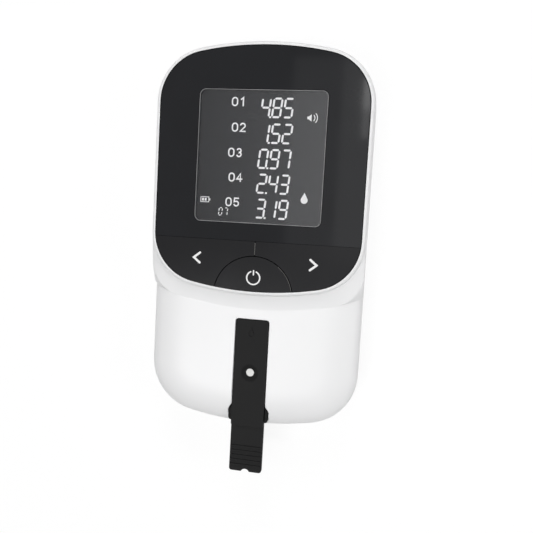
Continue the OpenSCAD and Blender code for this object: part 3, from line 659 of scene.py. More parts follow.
@dataclass(frozen=True)
class Finish:
    """Moulded plastic, rubber, steel or glass: one colour with fine grain, soft patches and uneven gloss.

    Colours are linear. Grain and patches are sizes in millimetres, and relief is the grain's depth.
    """

    slot: str
    colour: tuple[float, float, float]
    roughness: float
    metallic: float = 0.0
    specular: float = 0.5
    coat: float = 0.0
    clear: float = 0.0
    index: float = 1.5
    grain: float = 0.3
    relief: float = 0.002
    run: Grain = Grain.EVEN
    patch: float = 14.0
    mottle: float = 0.03
    uneven: float = 0.04

    def build(self) -> bpy.types.Material:
        """Material with this finish, made once and then used again.

        Returns:
            The material.
        """
        if self not in MADE:
            MADE[self] = bpy.data.materials.new(self.slot)
            bench = Bench(MADE[self])
            bench.feed(bench.shader, {
                "Base Color": (*self.colour, 1), "Metallic": self.metallic, "Roughness": self.roughness,
                "Specular IOR Level": self.specular, "Coat Weight": self.coat,
                "Coat Roughness": COAT_ROUGHNESS, "Transmission Weight": self.clear, "IOR": self.index,
            })
            self.paint(bench)
        return MADE[self]

    def paint(self, bench: "Bench") -> None:
        """Lays patches on the colour, unevenness on the gloss, and grain on the surface.

        Args:
            bench: Node tree of the material.
        """
        patches = bench.noise(self.patch, 3.0)
        if self.mottle:
            bench.colour(patches, self.darker(self.mottle), self.colour)
        bench.gloss(patches, self.roughness - self.uneven, self.roughness + self.uneven)
        bench.relief(bench.noise(self.grain, 2.0, self.run), self.relief)

    def darker(self, share: float) -> tuple[float, float, float]:
        """The colour, darker by a share."""
        return tuple(c * (1 - share) for c in self.colour)


class Bench:
    """Node tree of a material or of the world while it is being made."""

    def __init__(self, owner: bpy.types.Material | bpy.types.World) -> None:
        """Starts from the nodes that the owner has by itself.

        Args:
            owner: The material or world.
        """
        owner.use_nodes = True
        self.tree = owner.node_tree
        self.nodes = self.tree.nodes
        self.shader = self.nodes.get("Principled BSDF")

    @cached_property
    def place(self) -> Socket:
        """The piece's own coordinates."""
        return self.add("TexCoord", {}).outputs["Object"]

    def feed(self, node: bpy.types.Node, inputs: dict[str | int, object]) -> None:
        """Joins each of a node's inputs that is named to a socket, or sets it to a value.

        Args:
            node: The node.
            inputs: Sockets or values, by the input's name or number.
        """
        for name, value in inputs.items():
            if isinstance(value, Socket):
                self.tree.links.new(value, node.inputs[name])
            else:
                node.inputs[name].default_value = value

    def add(self, kind: str, inputs: dict[str | int, object], **settings: object) -> bpy.types.Node:
        """Adds a node.

        Args:
            kind: Type of the node, without the words that all types start with.
            inputs: Sockets or values of its inputs, by name or number.
            settings: Its other settings.

        Returns:
            The node.
        """
        node = self.nodes.new(f"ShaderNode{kind}")
        for key, value in settings.items():
            setattr(node, key, value)
        self.feed(node, inputs)
        return node

    def noise(self, size: float, detail: float, run: Grain = Grain.EVEN) -> Socket:
        """Noise with features of about a size in millimetres, which may run along an axis.

        Args:
            size: Size of the features.
            detail: Levels of finer noise in it.
            run: Direction of the grain.

        Returns:
            The noise's value, from 0 to 1.
        """
        place = self.add("Mapping", {"Vector": self.place, "Scale": run.value}).outputs["Vector"]
        noise = self.add("TexNoise", {"Vector": place, "Scale": 1 / (size * MM), "Detail": detail})
        return noise.outputs["Fac"]

    def maths(self, operation: str, first: Socket, second: Socket | float) -> Socket:
        """Result of an operation on two values."""
        return self.add("Math", {0: first, 1: second}, operation=operation).outputs["Value"]

    def ramp(self, value: Socket, low: float, high: float) -> Socket:
        """Value stretched so that low becomes 0 and high becomes 1."""
        return self.add("MapRange", {"Value": value, "From Min": low, "From Max": high}).outputs["Result"]

    def blend(self, share: Socket, first: Sequence[float], second: Sequence[float]) -> Socket:
        """Colour between two others, by a share."""
        mix = self.add("Mix", {"Factor": share, 6: (*first, 1), 7: (*second, 1)}, data_type="RGBA")
        return mix.outputs[2]

    def colour(self, share: Socket, first: Sequence[float], second: Sequence[float]) -> None:
        """Base colour between two others, by a share stretched over the middle of its range."""
        self.feed(self.shader, {"Base Color": self.blend(self.ramp(share, 0.3, 0.7), first, second)})

    def gloss(self, share: Socket, low: float, high: float) -> None:
        """Roughness between two values, by a share."""
        mapped = self.add("MapRange", {"Value": share, "To Min": max(low, 0.0), "To Max": high})
        self.feed(self.shader, {"Roughness": mapped.outputs["Result"]})

    def relief(self, height: Socket, depth: float) -> None:
        """Bump of a depth in millimetres."""
        bump = self.add("Bump", {"Height": height, "Strength": RELIEF_STRENGTH, "Distance": depth * MM})
        self.feed(self.shader, {"Normal": bump.outputs["Normal"]})

    def seen_directly(self) -> Socket:
        """Share that is 1 for what the camera sees itself, in gloss or through glass, and else 0.

        Returns:
            The share.
        """
        path = self.add("LightPath", {}).outputs
        share = self.maths("MAXIMUM", path["Is Camera Ray"], path["Is Glossy Ray"])
        return self.maths("MAXIMUM", share, path["Is Transmission Ray"])

    def show(self, output: str, share: Socket, first: bpy.types.Node, second: bpy.types.Node) -> None:
        """Shows one shader, and another by a share.

        Args:
            output: Name of the output node.
            share: Share of the second shader.
            first: Node of the first shader.
            second: Node of the second one.
        """
        mix = self.add("MixShader", {"Fac": share, 1: first.outputs[0], 2: second.outputs[0]})
        self.feed(self.nodes[output], {"Surface": mix.outputs["Shader"]})


@dataclass(frozen=True)
class BacklightWithPaintedSheen(Finish):
    """Backlit display: it glows, and the glow's rise from one grey to another across the display is a painted
    sheen.
    """

    dim: tuple[float, float, float] = (0.01, 0.01, 0.0103)
    bright: tuple[float, float, float] = (0.044, 0.044, 0.045)
    half_width: float = 24.0

    def paint(self, bench: Bench) -> None:
        """Adds the backlight's glow, which grows from the left edge to the right one as a painted sheen.

        Args:
            bench: Node tree of the material.
        """
        super().paint(bench)
        axes = bench.add("SeparateXYZ", {"Vector": bench.place})
        across = bench.ramp(axes.outputs["X"], -self.half_width * MM, self.half_width * MM)
        bench.feed(bench.shader, {"Emission Color": bench.blend(across, self.dim, self.bright),
                                  "Emission Strength": 1.0})


@dataclass(frozen=True)
class Lit(Finish):
    """Lit figure of the display: an even glow."""

    glow: float = 0.8

    def paint(self, bench: Bench) -> None:
        """Adds an even glow.

        Args:
            bench: Node tree of the material.
        """
        super().paint(bench)
        bench.feed(bench.shader, {"Emission Color": WHITE, "Emission Strength": self.glow})


@dataclass(frozen=True)
class Woven(Finish):
    """Fine membrane: two sets of threads cross, each a wave along one axis."""

    thread: float = 0.16

    def paint(self, bench: Bench) -> None:
        """Lays the threads' height over a soft mottled colour.

        Args:
            bench: Node tree of the material.
        """
        bench.colour(bench.noise(self.patch, 3.0), self.darker(self.mottle), self.colour)
        wave = {"Scale": 0.31 / (self.thread * MM), "Distortion": 1.5, "Vector": bench.place}
        threads = [bench.add("TexWave", wave, bands_direction=way).outputs["Fac"] for way in ("X", "Y")]
        bench.relief(bench.maths("MAXIMUM", *threads), self.relief)


@dataclass(frozen=True)
class Etched(Finish):
    """Circuit board: solder resist that is paler over the copper, where cells of a pattern are filled."""

    copper: tuple[float, float, float] = (0.09, 0.3, 0.13)
    track: float = 1.6

    def paint(self, bench: Bench) -> None:
        """Shows tracks between the cells of a square pattern.

        Args:
            bench: Node tree of the material.
        """
        cells = bench.add("TexVoronoi", {"Scale": 1 / (self.track * MM), "Vector": bench.place},
                          feature="DISTANCE_TO_EDGE", distance="CHEBYCHEV")
        share = bench.ramp(cells.outputs["Distance"], 0.08, 0.12)
        bench.feed(bench.shader, {"Base Color": bench.blend(share, self.copper, self.colour)})
        bench.relief(share, self.relief)


CASING = Finish("casing_white", (0.90, 0.90, 0.905), 0.36, grain=0.35, relief=0.002, mottle=0.012)
# Black coat of the recess under the panel and keys: painted shade, so that the gaps round them look dark
RECESS_PAINTED_SHADE = Finish("casing_white", (0.006, 0.006, 0.006), 0.7, specular=0.2, grain=0.3, relief=0.003, mottle=0.2)
DOOR = Finish("door_white", (0.89, 0.89, 0.895), 0.38, grain=0.35, relief=0.002, mottle=0.015)
PANEL = Finish("panel_black", (0.0056, 0.0062, 0.0085), 0.07, specular=0.22, grain=4, relief=0.0003,
               mottle=0.2, uneven=0.02)
WINDOW = Finish("window_tint", (0.97, 0.97, 0.98), 0.03, specular=0.15, clear=1.0, index=1.3, grain=6,
                relief=0.0001, mottle=0.0, uneven=0.01)
# Pale grey side and edge band of the lens: a painted highlight along the window's edge
WINDOW_EDGE_HIGHLIGHT = Finish("window_tint", (0.32, 0.32, 0.325), 0.5, grain=0.2, relief=0.004, mottle=0.3, patch=9)
# Display cell: backlight glow, brighter towards the right as a painted sheen
DISPLAY = BacklightWithPaintedSheen("display_grey", (0.0068, 0.0078, 0.0105), 0.35, specular=0.06, grain=0.5, relief=0.0005)
FIGURES = Lit("display_grey", (0.5, 0.5, 0.5), 0.5, glow=0.4)
FRAME = Finish("frame_black", (0.02, 0.02, 0.02), 0.55, relief=0.004)
LIGHT_GUIDE = Finish("light_guide", (0.85, 0.87, 0.87), 0.12, clear=0.35, relief=0.001)
ZEBRA = Finish("zebra_rubber", (0.42, 0.4, 0.36), 0.7, run=Grain.ALONG, grain=0.4, relief=0.01, mottle=0.4)
KEY = Finish("key_black", (0.0038, 0.0038, 0.0052), 0.2, specular=0.22, grain=3, relief=0.0006, mottle=0.15,
             uneven=0.03)
PRINT = Finish("key_black", (0.92, 0.92, 0.92), 0.45, grain=0.1, relief=0.001, mottle=0.03, patch=3)
# Pale stripes in the gap between the arrow keys and along the power key's edge: painted highlights
PAINTED_HIGHLIGHT = Finish("key_black", (0.16, 0.155, 0.145), 0.4, grain=0.1, relief=0.001, mottle=0.5, patch=6)
PLUNGER = Finish("plunger_ivory", (0.8, 0.76, 0.62), 0.42)
SWITCH = Finish("switch_steel", (0.6, 0.61, 0.63), 0.32, metallic=1.0, run=Grain.ACROSS, relief=0.003)
BOARD = Etched("board_green", (0.02, 0.12, 0.05), 0.3, coat=0.3, relief=0.02)
PACKAGE = Finish("package_black", (0.02, 0.02, 0.021), 0.6, grain=0.12, relief=0.006)
BUZZER = Finish("buzzer_black", (0.02, 0.02, 0.02), 0.5, relief=0.004)
PORT = Finish("port_steel", (0.62, 0.63, 0.65), 0.28, metallic=1.0, run=Grain.ACROSS, relief=0.002)
PORT_TONGUE = Finish("port_steel", (0.02, 0.02, 0.02), 0.5, relief=0.003)
LAMP = Finish("lamp_clear", (0.9, 0.93, 1.0), 0.06, clear=0.9, relief=0.0005)
SENSOR = Finish("sensor_dark", (0.02, 0.02, 0.03), 0.15, relief=0.001)
OPTIC = Finish("optic_clear", (0.95, 0.97, 0.97), 0.04, clear=0.95, index=1.5, relief=0.0003)
HOLDER = Finish("holder_black", (0.0045, 0.0045, 0.0047), 0.42, specular=0.08, grain=0.25, relief=0.004)
CARD = Finish("card_black", (0.0102, 0.0102, 0.0104), 0.5, specular=0.1, grain=0.22, relief=0.005,
              mottle=0.1)
PAD = Woven("pad_white", (0.88, 0.88, 0.86), 0.8, relief=0.02, patch=1.2, mottle=0.05)
CELL = Finish("cell_wrap", (0.05, 0.09, 0.2), 0.3, coat=0.4, patch=6, mottle=0.12, relief=0.001)
CELL_METAL = Finish("cell_wrap", (0.62, 0.62, 0.63), 0.25, metallic=1.0, run=Grain.ACROSS, relief=0.001)
SPRING = Finish("spring_steel", (0.66, 0.66, 0.67), 0.22, metallic=1.0, relief=0.001)
CONTACT = Finish("contact_steel", (0.66, 0.66, 0.67), 0.28, metallic=1.0, run=Grain.ACROSS, relief=0.002)
CHIP = Finish("chip_blue", (0.03, 0.1, 0.34), 0.35, relief=0.004)
SCREW = Finish("screw_steel", (0.5, 0.51, 0.53), 0.34, metallic=1.0, relief=0.003)
FOOT = Finish("foot_rubber", (0.02, 0.02, 0.02), 0.75, grain=0.2, relief=0.012)


def mount(piece: Piece, body: str, finishes: Sequence[Finish], nodes: Sequence[str] = ()) -> None:
    """Gives a finished piece its materials, sets it on its body and hides the CAD nodes that it stands for.

    Args:
        piece: The finished piece, whose faces have their material numbers.
        body: Name of the body that it rides on.
        finishes: Its finishes; the first goes to the faces numbered 0.
        nodes: CAD nodes that it replaces.
    """
    numbers = np.zeros(len(piece.data.polygons), np.int32)
    piece.data.polygons.foreach_get("material_index", numbers)
    piece.data.materials.clear()
    for finish in finishes:
        piece.data.materials.append(finish.build())
    piece.data.polygons.foreach_set("material_index", numbers)
    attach(piece, body)
    if nodes:
        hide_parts(*nodes)
    LOG.info("%s: %d faces on %s", piece.name, len(numbers), body)


def dress_node(node: str, finish: Finish) -> None:
    """Gives a CAD node, whose shape stays, its finish.

    Args:
        node: Name of the CAD node.
        finish: Its finish.
    """
    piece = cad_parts[node]
    if not piece.material_slots:
        piece.data.materials.append(None)
    for slot in piece.material_slots:
        slot.link = "OBJECT"
        slot.material = finish.build()
    LOG.info("%s: kept, in %s", node, finish.slot)


# The casing


@dataclass
class Casing:
    """Upper and lower casing with feet and screws."""

    body: str = "casing"
    end_radius: float = 118.5
    corner_radius: float = 19.8
    part_level: float = 12.0
    deck_level: float = 22.8
    wall: float = 2.2
    head_length: float = 90.6
    rim_width: float = 1.7
    rim_inset: float = 1.3
    rim_drop: float = 2.4
    chin_reach: float = 5.6
    chin_drop: float = 1.7
    chin_corner: float = 0.8
    chin_curve: float = 1.4
    corner_curve: float = 2.2
    # Rings of points along the outer and inner roundings, the chin and the rim
    rings: int = 26
    inner_rings: int = 8
    chin_rings: int = 14
    rim_rings: int = 12
    deck_side: float = 4.6
    pillow_width: float = 15.0
    pillow_fullness: float = 2.4
    deck_under_head: float = 13.4
    rear_round: float = 6.0
    seam_round: float = 0.16
    lip_inset: float = 1.1
    lip_height: float = 1.2
    ledge: float = 1.2
    edge: float = 0.22
    seat_edge: float = 0.12
    # Gaps round what sits in the casing
    gap: float = 0.1
    holder_gap: float = 0.2
    display_gap: float = 0.3
    cell_gap: float = 0.3
    door_gap: float = 0.25
    chip_gap: float = 0.2
    port_gap: float = 0.3
    # Recess of the keys
    key_length: float = 19.8
    key_depth: float = 3.5
    key_under_panel: float = 0.5
    stem_hole: float = 5.0
    head_wall: float = 2.8
    # Channel of the card's holder, and the opening over the optics
    channel_wall: float = 1.6
    channel_floor: float = 1.5
    channel_end: float = 2.0
    channel_top: float = 21.5
    slot_step: float = 0.5
    optics_x: float = 1.3
    optics_y: float = 1.1
    # Pillars and posts with their screws: diameters, and places from the casing's sides and ends
    pillar: float = 7.0
    pillar_inset: float = 3.0
    post: float = 5.0
    post_inset: float = 7.3
    post_high: float = 35.0
    post_low: float = 16.6
    head_radius: float = 2.5
    head_height: float = 1.8
    shank_radius: float = 1.2
    case_thread: float = 2.5
    case_hole: float = 2.9
    board_thread: float = 2.1
    below_tip: float = 0.5
    sensor_post_x: float = 2.5
    sensor_post_y: float = 3.4
    sensor_thread: float = 5.2
    # Battery bay, feet, and the opening behind the port
    bay_wall: float = 1.6
    bay_roof: float = 1.4
    finger_notch: float = 12.0
    notch_depth: float = 1.2
    foot_radius: float = 4.0
    foot_seat: float = 0.5
    foot_gap: float = 0.2
    seat_gap: float = 0.6
    port_above: float = 0.2
    port_depth: float = 7.8
    box: Span = field(default_factory=lambda: Span.of("front_cover"))
    rear: Span = field(default_factory=lambda: Span.of("rear_cover"))

    def __post_init__(self) -> None:
        """Works out the places that follow from the frame."""
        self.half = self.box.high.x
        self.top = self.box.high.y
        self.low = self.box.low.y
        self.rim_level = self.box.high.z
        self.back_level = self.rear.low.z
        self.head_low = self.top - self.head_length
        self.key_line = self.head_low + self.key_length
        self.chin_level = self.rim_level - self.chin_drop
        self.edge_level = self.part_level + self.deck_side
        self.deck_high = self.head_low - self.chin_reach + self.corner_radius + self.deck_under_head
        self.recess = self.head_plan(self.rim_width - self.gap)
        self.pillars = Span.of("case_screws").corners(self.head_radius, self.head_radius)
        self.posts = mirrored([(self.half - self.post_inset, self.top - self.post_high),
                               (self.half - self.post_inset, self.head_low + self.post_low)])
        self.sensor_posts = Span.of("sensor_board").corners(self.sensor_post_x, self.sensor_post_y)
        self.feet = Span.of("rubber_feet").corners(self.foot_radius, self.foot_radius)

    def plan(self, depth: float, high: float, low: float) -> np.ndarray:
        """The casing's plan between two ends, drawn in by a depth.

        Args:
            depth: Distance inwards.
            high: Y of the upper end's crown.
            low: Y of the lower end's crown.

        Returns:
            A closed outline.
        """
        corner = self.corner_radius - depth
        return bowed_plan(self.half - depth, high - depth, low + depth, corner, corner,
                          self.end_radius - depth)

    def body_plan(self, depth: float) -> np.ndarray:
        """Plan of the whole casing, drawn in by a depth."""
        return self.plan(depth, self.top, self.low)

    def head_plan(self, depth: float) -> np.ndarray:
        """Plan of the raised head, drawn in by a depth."""
        return self.plan(depth, self.top, self.head_low)

    def seam(self, height: float) -> float:
        """Inset of the quarter-round edge beside the parting line, at a height over or under it."""
        r = self.seam_round
        return 0.0 if height >= r else r - float(np.sqrt(max(r * r - (r - height) ** 2, 0)))

    def seam_heights(self) -> list[float]:
        """Heights of the rings that round the seam's edge."""
        return [self.seam_round * (1 - float(np.cos(t))) for t in np.linspace(0, np.pi / 2, 4)]

    def pillow(self, turn: float, start: float, rise: float) -> tuple[float, float]:
        """Inset and height of the deck's edge, a superellipse, at a parameter from 0 to a quarter turn.

        Args:
            turn: The parameter, in radians.
            start: Inset of the edge's foot.
            rise: Height of the deck's top over the edge's foot.

        Returns:
            The inset and the height.
        """
        power = 2 / self.pillow_fullness
        return (start + (self.pillow_width - start) * (1 - float(np.cos(turn)) ** power),
                rise * float(np.sin(turn)) ** power)

    def deck_level_at(self, points: np.ndarray) -> np.ndarray:
        """Level of the deck near its bowed end.

        The inset d of a point is the end's radius less its distance from the bow's centre. The level is the
        superellipse edge + rise (1 - (1 - d / width)^n)^(1 / n).

        Args:
            points: Plan points near the middle line.

        Returns:
            Their levels.
        """
        depth = self.end_radius - np.hypot(points[:, 0], points[:, 1] - self.low - self.end_radius)
        share = np.clip(1 - depth / self.pillow_width, 0, 1)
        n = self.pillow_fullness
        return self.edge_level + (self.deck_level - self.edge_level) * (1 - share ** n) ** (1 / n)

    def deck_form(self, start: float, level: float, first: float, rings: int) -> Piece:
        """Pillow of the deck, from an inset and up to a level.

        Args:
            start: Inset of its lowest ring.
            level: Level of its flat top.
            first: Level of its lowest face.
            rings: Rings along the falling edge.

        Returns:
            The solid.
        """
        def ring(depth: float, height: float) -> np.ndarray:
            """The deck's plan, drawn in by a depth, at a height."""
            return lift(self.plan(depth, self.deck_high, self.low), height)

        rise = level - self.edge_level
        lower = [ring(start, first)]
        if first >= self.part_level:
            lower = [ring(start + self.seam(h), self.part_level + h) for h in self.seam_heights()]
        turns = np.linspace(0.03, np.pi / 2, rings)
        return loft("upper_casing", lower + [ring(start, self.edge_level)] + [
            ring(inset_now, self.edge_level + height)
            for inset_now, height in (self.pillow(float(t), start, rise) for t in turns)])

    def head_ring(self, level: float) -> np.ndarray:
        """Ring of the head at a level: upright sides, the rim's round edge, and the chin that slopes out.

        The rim's inset is w (1 - sqrt(1 - s^2)), where s is the share of its drop. The chin's reach is r
        times the share of the height under its top edge, to a power. Its corners turn squarer on the way
        down: their radius shrinks with the share of the height over the deck's sides, to a power.

        Args:
            level: Level of the ring.

        Returns:
            Points of the ring.
        """
        rise = (level - self.rim_level + self.rim_drop) / self.rim_drop
        depth = self.rim_inset * (1 - float(np.sqrt(max(0, 1 - max(rise, 0) ** 2))))
        depth += self.seam(level - self.part_level)
        share = (self.chin_level - max(level, self.deck_level)) / (self.chin_level - self.deck_level)
        out = self.chin_reach * max(share, 0) ** self.chin_curve
        corner = self.corner_radius - depth
        over = min(max((level - self.edge_level) / (self.chin_level - self.edge_level), 0), 1)
        square = self.chin_corner + (corner - self.chin_corner) * over ** self.corner_curve
        return lift(bowed_plan(self.half - depth, self.top - depth, self.head_low + depth - out, corner,
                               square, self.end_radius - depth), level)

    def head_form(self) -> Piece:
        """The raised head as a solid.

        Returns:
            The solid.
        """
        seam = [self.part_level + h for h in self.seam_heights()]
        side = np.linspace(self.edge_level, self.deck_level, self.chin_rings + 1)[:-1]
        chin = np.linspace(self.deck_level, self.chin_level, self.chin_rings + 1)[:-1]
        rim = self.chin_level + self.chin_drop * np.sin(np.linspace(0, np.pi / 2, self.rim_rings + 1))
        return loft("head", [self.head_ring(float(z)) for z in (*seam, *side, *chin, *rim)])

    def upper(self) -> None:
        """Upper casing: the deck joined to the head, hollowed, with the recesses that the pieces sit in."""
        shell = self.deck_form(0.0, self.deck_level, self.part_level, self.rings)
        carve(shell, Carve.ADD, [self.head_form()])
        carve(shell, Carve.CUT, [self.upper_hollow()])
        carve(shell, Carve.CUT, self.panel_cuts())
        carve(shell, Carve.CUT, self.channel_cuts())
        carve(shell, Carve.CUT, self.fitting_cuts())
        polish(shell)
        # The recess under the panel and keys gets a black coat of painted shade
        self.paint_recess_shade(shell)
        mount(shell, self.body, [CASING, RECESS_PAINTED_SHADE], ["front_cover"])

    def paint_recess_shade(self, shell: Piece) -> None:
        """Gives the walls and floor of the recess under the panel and keys the second finish, a black coat of
        painted shade that makes the gaps round them look dark.

        Args:
            shell: The upper casing.
        """
        centres = face_centres(shell)
        level = centres[:, 2]
        deep = (level > self.part_level + OVER) & (level < self.rim_level - 0.5)
        second_finish(shell, deep & inside(self.recess, centres[:, :2], 0.01))

    def upper_hollow(self) -> Piece:
        """Empty space of the upper casing, less the card channel, pillars and posts that stand in it.

        Returns:
            The cutter.
        """
        low = self.part_level - OVER
        panel, holder, board = (Span.of(n) for n in ("front_panel", "card_holder", "main_board"))
        hollow = self.deck_form(self.wall, self.deck_level - self.wall, low, self.inner_rings)
        carve(hollow, Carve.ADD, [
            prism("cutter", self.head_plan(self.head_wall), low - APART,
                  panel.high.z - self.key_depth - self.ledge),
            prism("cutter", clip(self.head_plan(self.wall + OVER), self.key_line + self.ledge, True),
                  low - 2 * APART, panel.low.z - self.gap - self.ledge)])
        side = holder.high.x + self.holder_gap + self.channel_wall
        frames = [block(-side, side, self.low - OVER, holder.high.y + self.holder_gap + self.channel_end,
                        holder.low.z - self.gap - self.channel_floor, self.rim_level)]
        frames += [rod(spot, self.pillar, low - OVER, self.rim_level) for spot in self.pillars]
        frames += [rod(spot, self.post, board.high.z, self.rim_level) for spot in self.posts]
        return carve(hollow, Carve.CUT, [joined("frames", frames)])

    def panel_cuts(self) -> list[Piece]:
        """Recess of the panel, deeper floor under the keys, display opening and the stems' holes.

        Returns:
            The cutters.
        """
        panel, cell = Span.of("front_panel"), Span.of("lcd_glass")
        low, above = self.part_level - OVER, self.rim_level + OVER
        keys = clip(inset(self.recess, 0.02), self.key_line + self.key_under_panel, False)
        stems = [Span.of(f"{side}_plunger").centre for side in ("left", "right", "power")]
        return [
            flared(self.recess, panel.low.z - self.gap, self.rim_level, self.seat_edge, above),
            prism("cutter", keys, panel.high.z - self.key_depth, above + APART),
            cell.opening(self.display_gap, self.display_gap, low, above + 2 * APART),
            joined("stems", [rod(spot, self.stem_hole, low, above + 3 * APART) for spot in stems]),
        ]

    def channel_cuts(self) -> list[Piece]:
        """Tunnel of the card holder, slot of the card and the ears over it, and the optics' opening.

        Returns:
            The cutters.
        """
        holder, card, nose = Span.of("card_holder"), Span.of("card_base"), Span.of("optical_window")
        side, floor = holder.high.x + self.holder_gap, holder.low.z - self.gap
        end, slot_low = self.low - 3 * OVER, floor + self.slot_step
        slot = Holder.slot_plan(card.high.x + Holder.card_gap, side, card.high.y + Holder.card_gap,
                                holder.low.y + Holder.ear_length + self.holder_gap, end)
        return [
            block(-side, side, end - OVER, holder.high.y + self.holder_gap, floor, self.channel_top),
            flared(slot, slot_low, self.deck_level_at, self.edge, self.rim_level + OVER),
            nose.opening(self.optics_x, self.optics_y, floor - self.channel_floor - OVER, slot_low),
        ]

    def fitting_cuts(self) -> list[Piece]:
        """Screw holes, the data port's opening and the step for the lower casing's lip.

        Returns:
            The cutters.
        """
        low = self.part_level - OVER
        case_tip, board_tip = (Span.of(n).high.z + self.below_tip for n in ("case_screws", "board_screws"))
        return [
            joined("holes", [rod(spot, self.case_thread, low, case_tip) for spot in self.pillars]
                   + [rod(spot, self.board_thread, low, board_tip) for spot in self.posts]),
            self.port_cutter(low, Span.of("data_port").high.z + self.port_above),
            prism("cutter", self.body_plan(self.lip_inset - self.gap), low,
                  self.part_level + self.lip_height + self.gap),
        ]

    def port_cutter(self, low: float, high: float) -> Piece:
        """Opening of the data port through the head's end, between two levels.

        Args:
            low: Level of its lower face.
            high: Level of its upper face.

        Returns:
            The cutter.
        """
        port = Span.of("data_port")
        return block(port.low.x - self.port_gap, port.high.x + self.port_gap, self.top - self.port_depth,
                     self.top + OVER, low, high)

    def rear_form(self, start: float, floor: float, past: float, rings: int) -> Piece:
        """Lower casing's outer or inner form: inset r (1 - cos t) and level part - h sin t.

        Args:
            start: Inset at the parting line.
            floor: Level of the flat back.
            past: Height to which it goes on over the parting line.
            rings: Rings along the rounding.

        Returns:
            The solid.
        """
        height = self.part_level - floor
        turns = np.linspace(np.pi / 2, 0.02, rings)
        parts = [lift(self.body_plan(start + (self.rear_round - start) * (1 - float(np.cos(t)))),
                      self.part_level - height * float(np.sin(t))) for t in turns]
        if past:
            parts.append(lift(self.body_plan(start), self.part_level + past))
        else:
            parts += [lift(self.body_plan(self.seam(h)), self.part_level - h)
                      for h in self.seam_heights()[-2::-1]]
        return loft("lower_casing", parts)

    def lower(self) -> None:
        """Lower casing with the battery bay, pillars, lip, seats and the slots in its sides."""
        shell = self.rear_form(0.0, self.back_level, 0.0, self.rings)
        carve(shell, Carve.CUT, [self.rear_form(self.wall, self.back_level + self.wall, OVER,
                                                self.inner_rings)])
        carve(shell, Carve.ADD, self.lower_frames())
        carve(shell, Carve.CUT, self.bay_cuts())
        carve(shell, Carve.CUT, self.seat_cuts())
        mount(polish(shell), self.body, [CASING], ["rear_cover"])

    def lower_frames(self) -> list[Piece]:
        """Lip, battery bay block, screw pillars and the sensor board's posts.

        Returns:
            The solids.
        """
        door, cells, sensor = (Span.of(n) for n in ("battery_door", "battery_cells", "sensor_board"))
        floor = self.back_level + self.wall - OVER
        lip = prism("cutter", self.body_plan(self.lip_inset), self.part_level - 2 * OVER,
                    self.part_level + self.lip_height, 0.0, 0.2)
        carve(lip, Carve.CUT, [prism("cutter", self.body_plan(self.wall), 0, self.rim_level)])
        side = door.high.x + self.door_gap + self.bay_wall
        bay = block(-side, side, door.low.y - self.gap, door.high.y - BatteryBay.tab + self.gap, floor,
                    cells.high.z + self.cell_gap + self.bay_roof)
        pillars = joined("pillars", [rod(spot, self.pillar, floor, self.part_level) for spot in self.pillars])
        carve(pillars, Carve.KEEP, [prism("cutter", self.body_plan(self.pillar_inset), 0, self.rim_level)])
        posts = [rod(spot, self.post, floor, sensor.low.z) for spot in self.sensor_posts]
        return [lip, bay, pillars, joined("posts", posts)]

    def bay_cuts(self) -> list[Piece]:
        """Cell space, door opening, clip pockets and the finger notch.

        Returns:
            The cutters.
        """
        door, cells, plates = (Span.of(n) for n in ("battery_door", "battery_cells", "battery_contacts"))
        gap, tab, back, bay = self.door_gap, BatteryBay.tab, self.back_level, BatteryBay
        opening = round_rect((door.centre.x, (door.low.y + door.high.y - tab) / 2), door.size.x + 2 * gap,
                             door.size.y - tab + 2 * gap, 0.8)
        half, loose = bay.clip_width / 2 + bay.clip_gap, bay.clip_gap
        return [
            block(cells.low.x - self.cell_gap, cells.high.x + self.cell_gap, plates.low.y - self.gap,
                  plates.high.y + self.gap, back - OVER, cells.high.z + self.cell_gap),
            dent(opening, back, door.high.z + 0.2, 0.2),
            dent(circle((0, door.low.y - gap), self.finger_notch), back, back + self.notch_depth, 0.3),
            *(block(x - half, x + half, door.high.y - bay.clip_length - loose, door.high.y + loose,
                    door.high.z - bay.clip_thickness - loose, door.high.z + self.gap) for x in bay.clips),
        ]

    def seat_cuts(self) -> list[Piece]:
        """Screw seats and holes, foot seats, the code chip's slot and the data port's opening.

        Returns:
            The cutters.
        """
        chip, back = Span.of("code_chip"), self.back_level
        seat = Span.of("case_screws").low.z + self.head_height
        thread = Span.of("sensor_board").high.z - self.sensor_thread
        middle, length, height = chip.side_plan
        slot = round_rect(middle, length + 2 * self.chip_gap, height + 2 * self.chip_gap, 0.6)
        holes = [rod(spot, self.case_hole, back - OVER, self.part_level + OVER) for spot in self.pillars]
        holes += [rod(spot, self.board_thread, thread, self.part_level) for spot in self.sensor_posts]
        seats = [dent(circle(spot, 2 * self.head_radius + self.seat_gap, 48), back, seat, 0.25)
                 for spot in self.pillars]
        feet = [dent(circle(spot, 2 * self.foot_radius + self.foot_gap, 48), back,
                     back + self.foot_seat, 0.1) for spot in self.feet]
        return [
            joined("seats", seats), joined("feet", feet), joined("holes", holes),
            laid(prism("cutter", slot, -self.half - OVER, chip.high.x), ALONG_X),
            self.port_cutter(self.part_level - 0.01, self.part_level + self.lip_height + OVER),
        ]

    def rubber_feet(self) -> None:
        """Four round feet with a rounded rim and a shallow dish in the sole."""
        span = Span.of("rubber_feet")
        radius, height, rim = self.foot_radius, span.size.z, 0.4
        profile = np.vstack([
            [(0, 0.18), (radius * 0.55, 0.1), (radius * 0.7, 0.0)],
            arc((radius - rim, rim), rim, -90, 0, 5),
            [(radius, height), (0, height)],
        ])
        feet = [placed(revolve("foot", profile, 48), x, y, span.low.z) for x, y in self.feet]
        mount(polish(joined("feet_of_rubber", feet)), self.body, [FOOT], ["rubber_feet"])

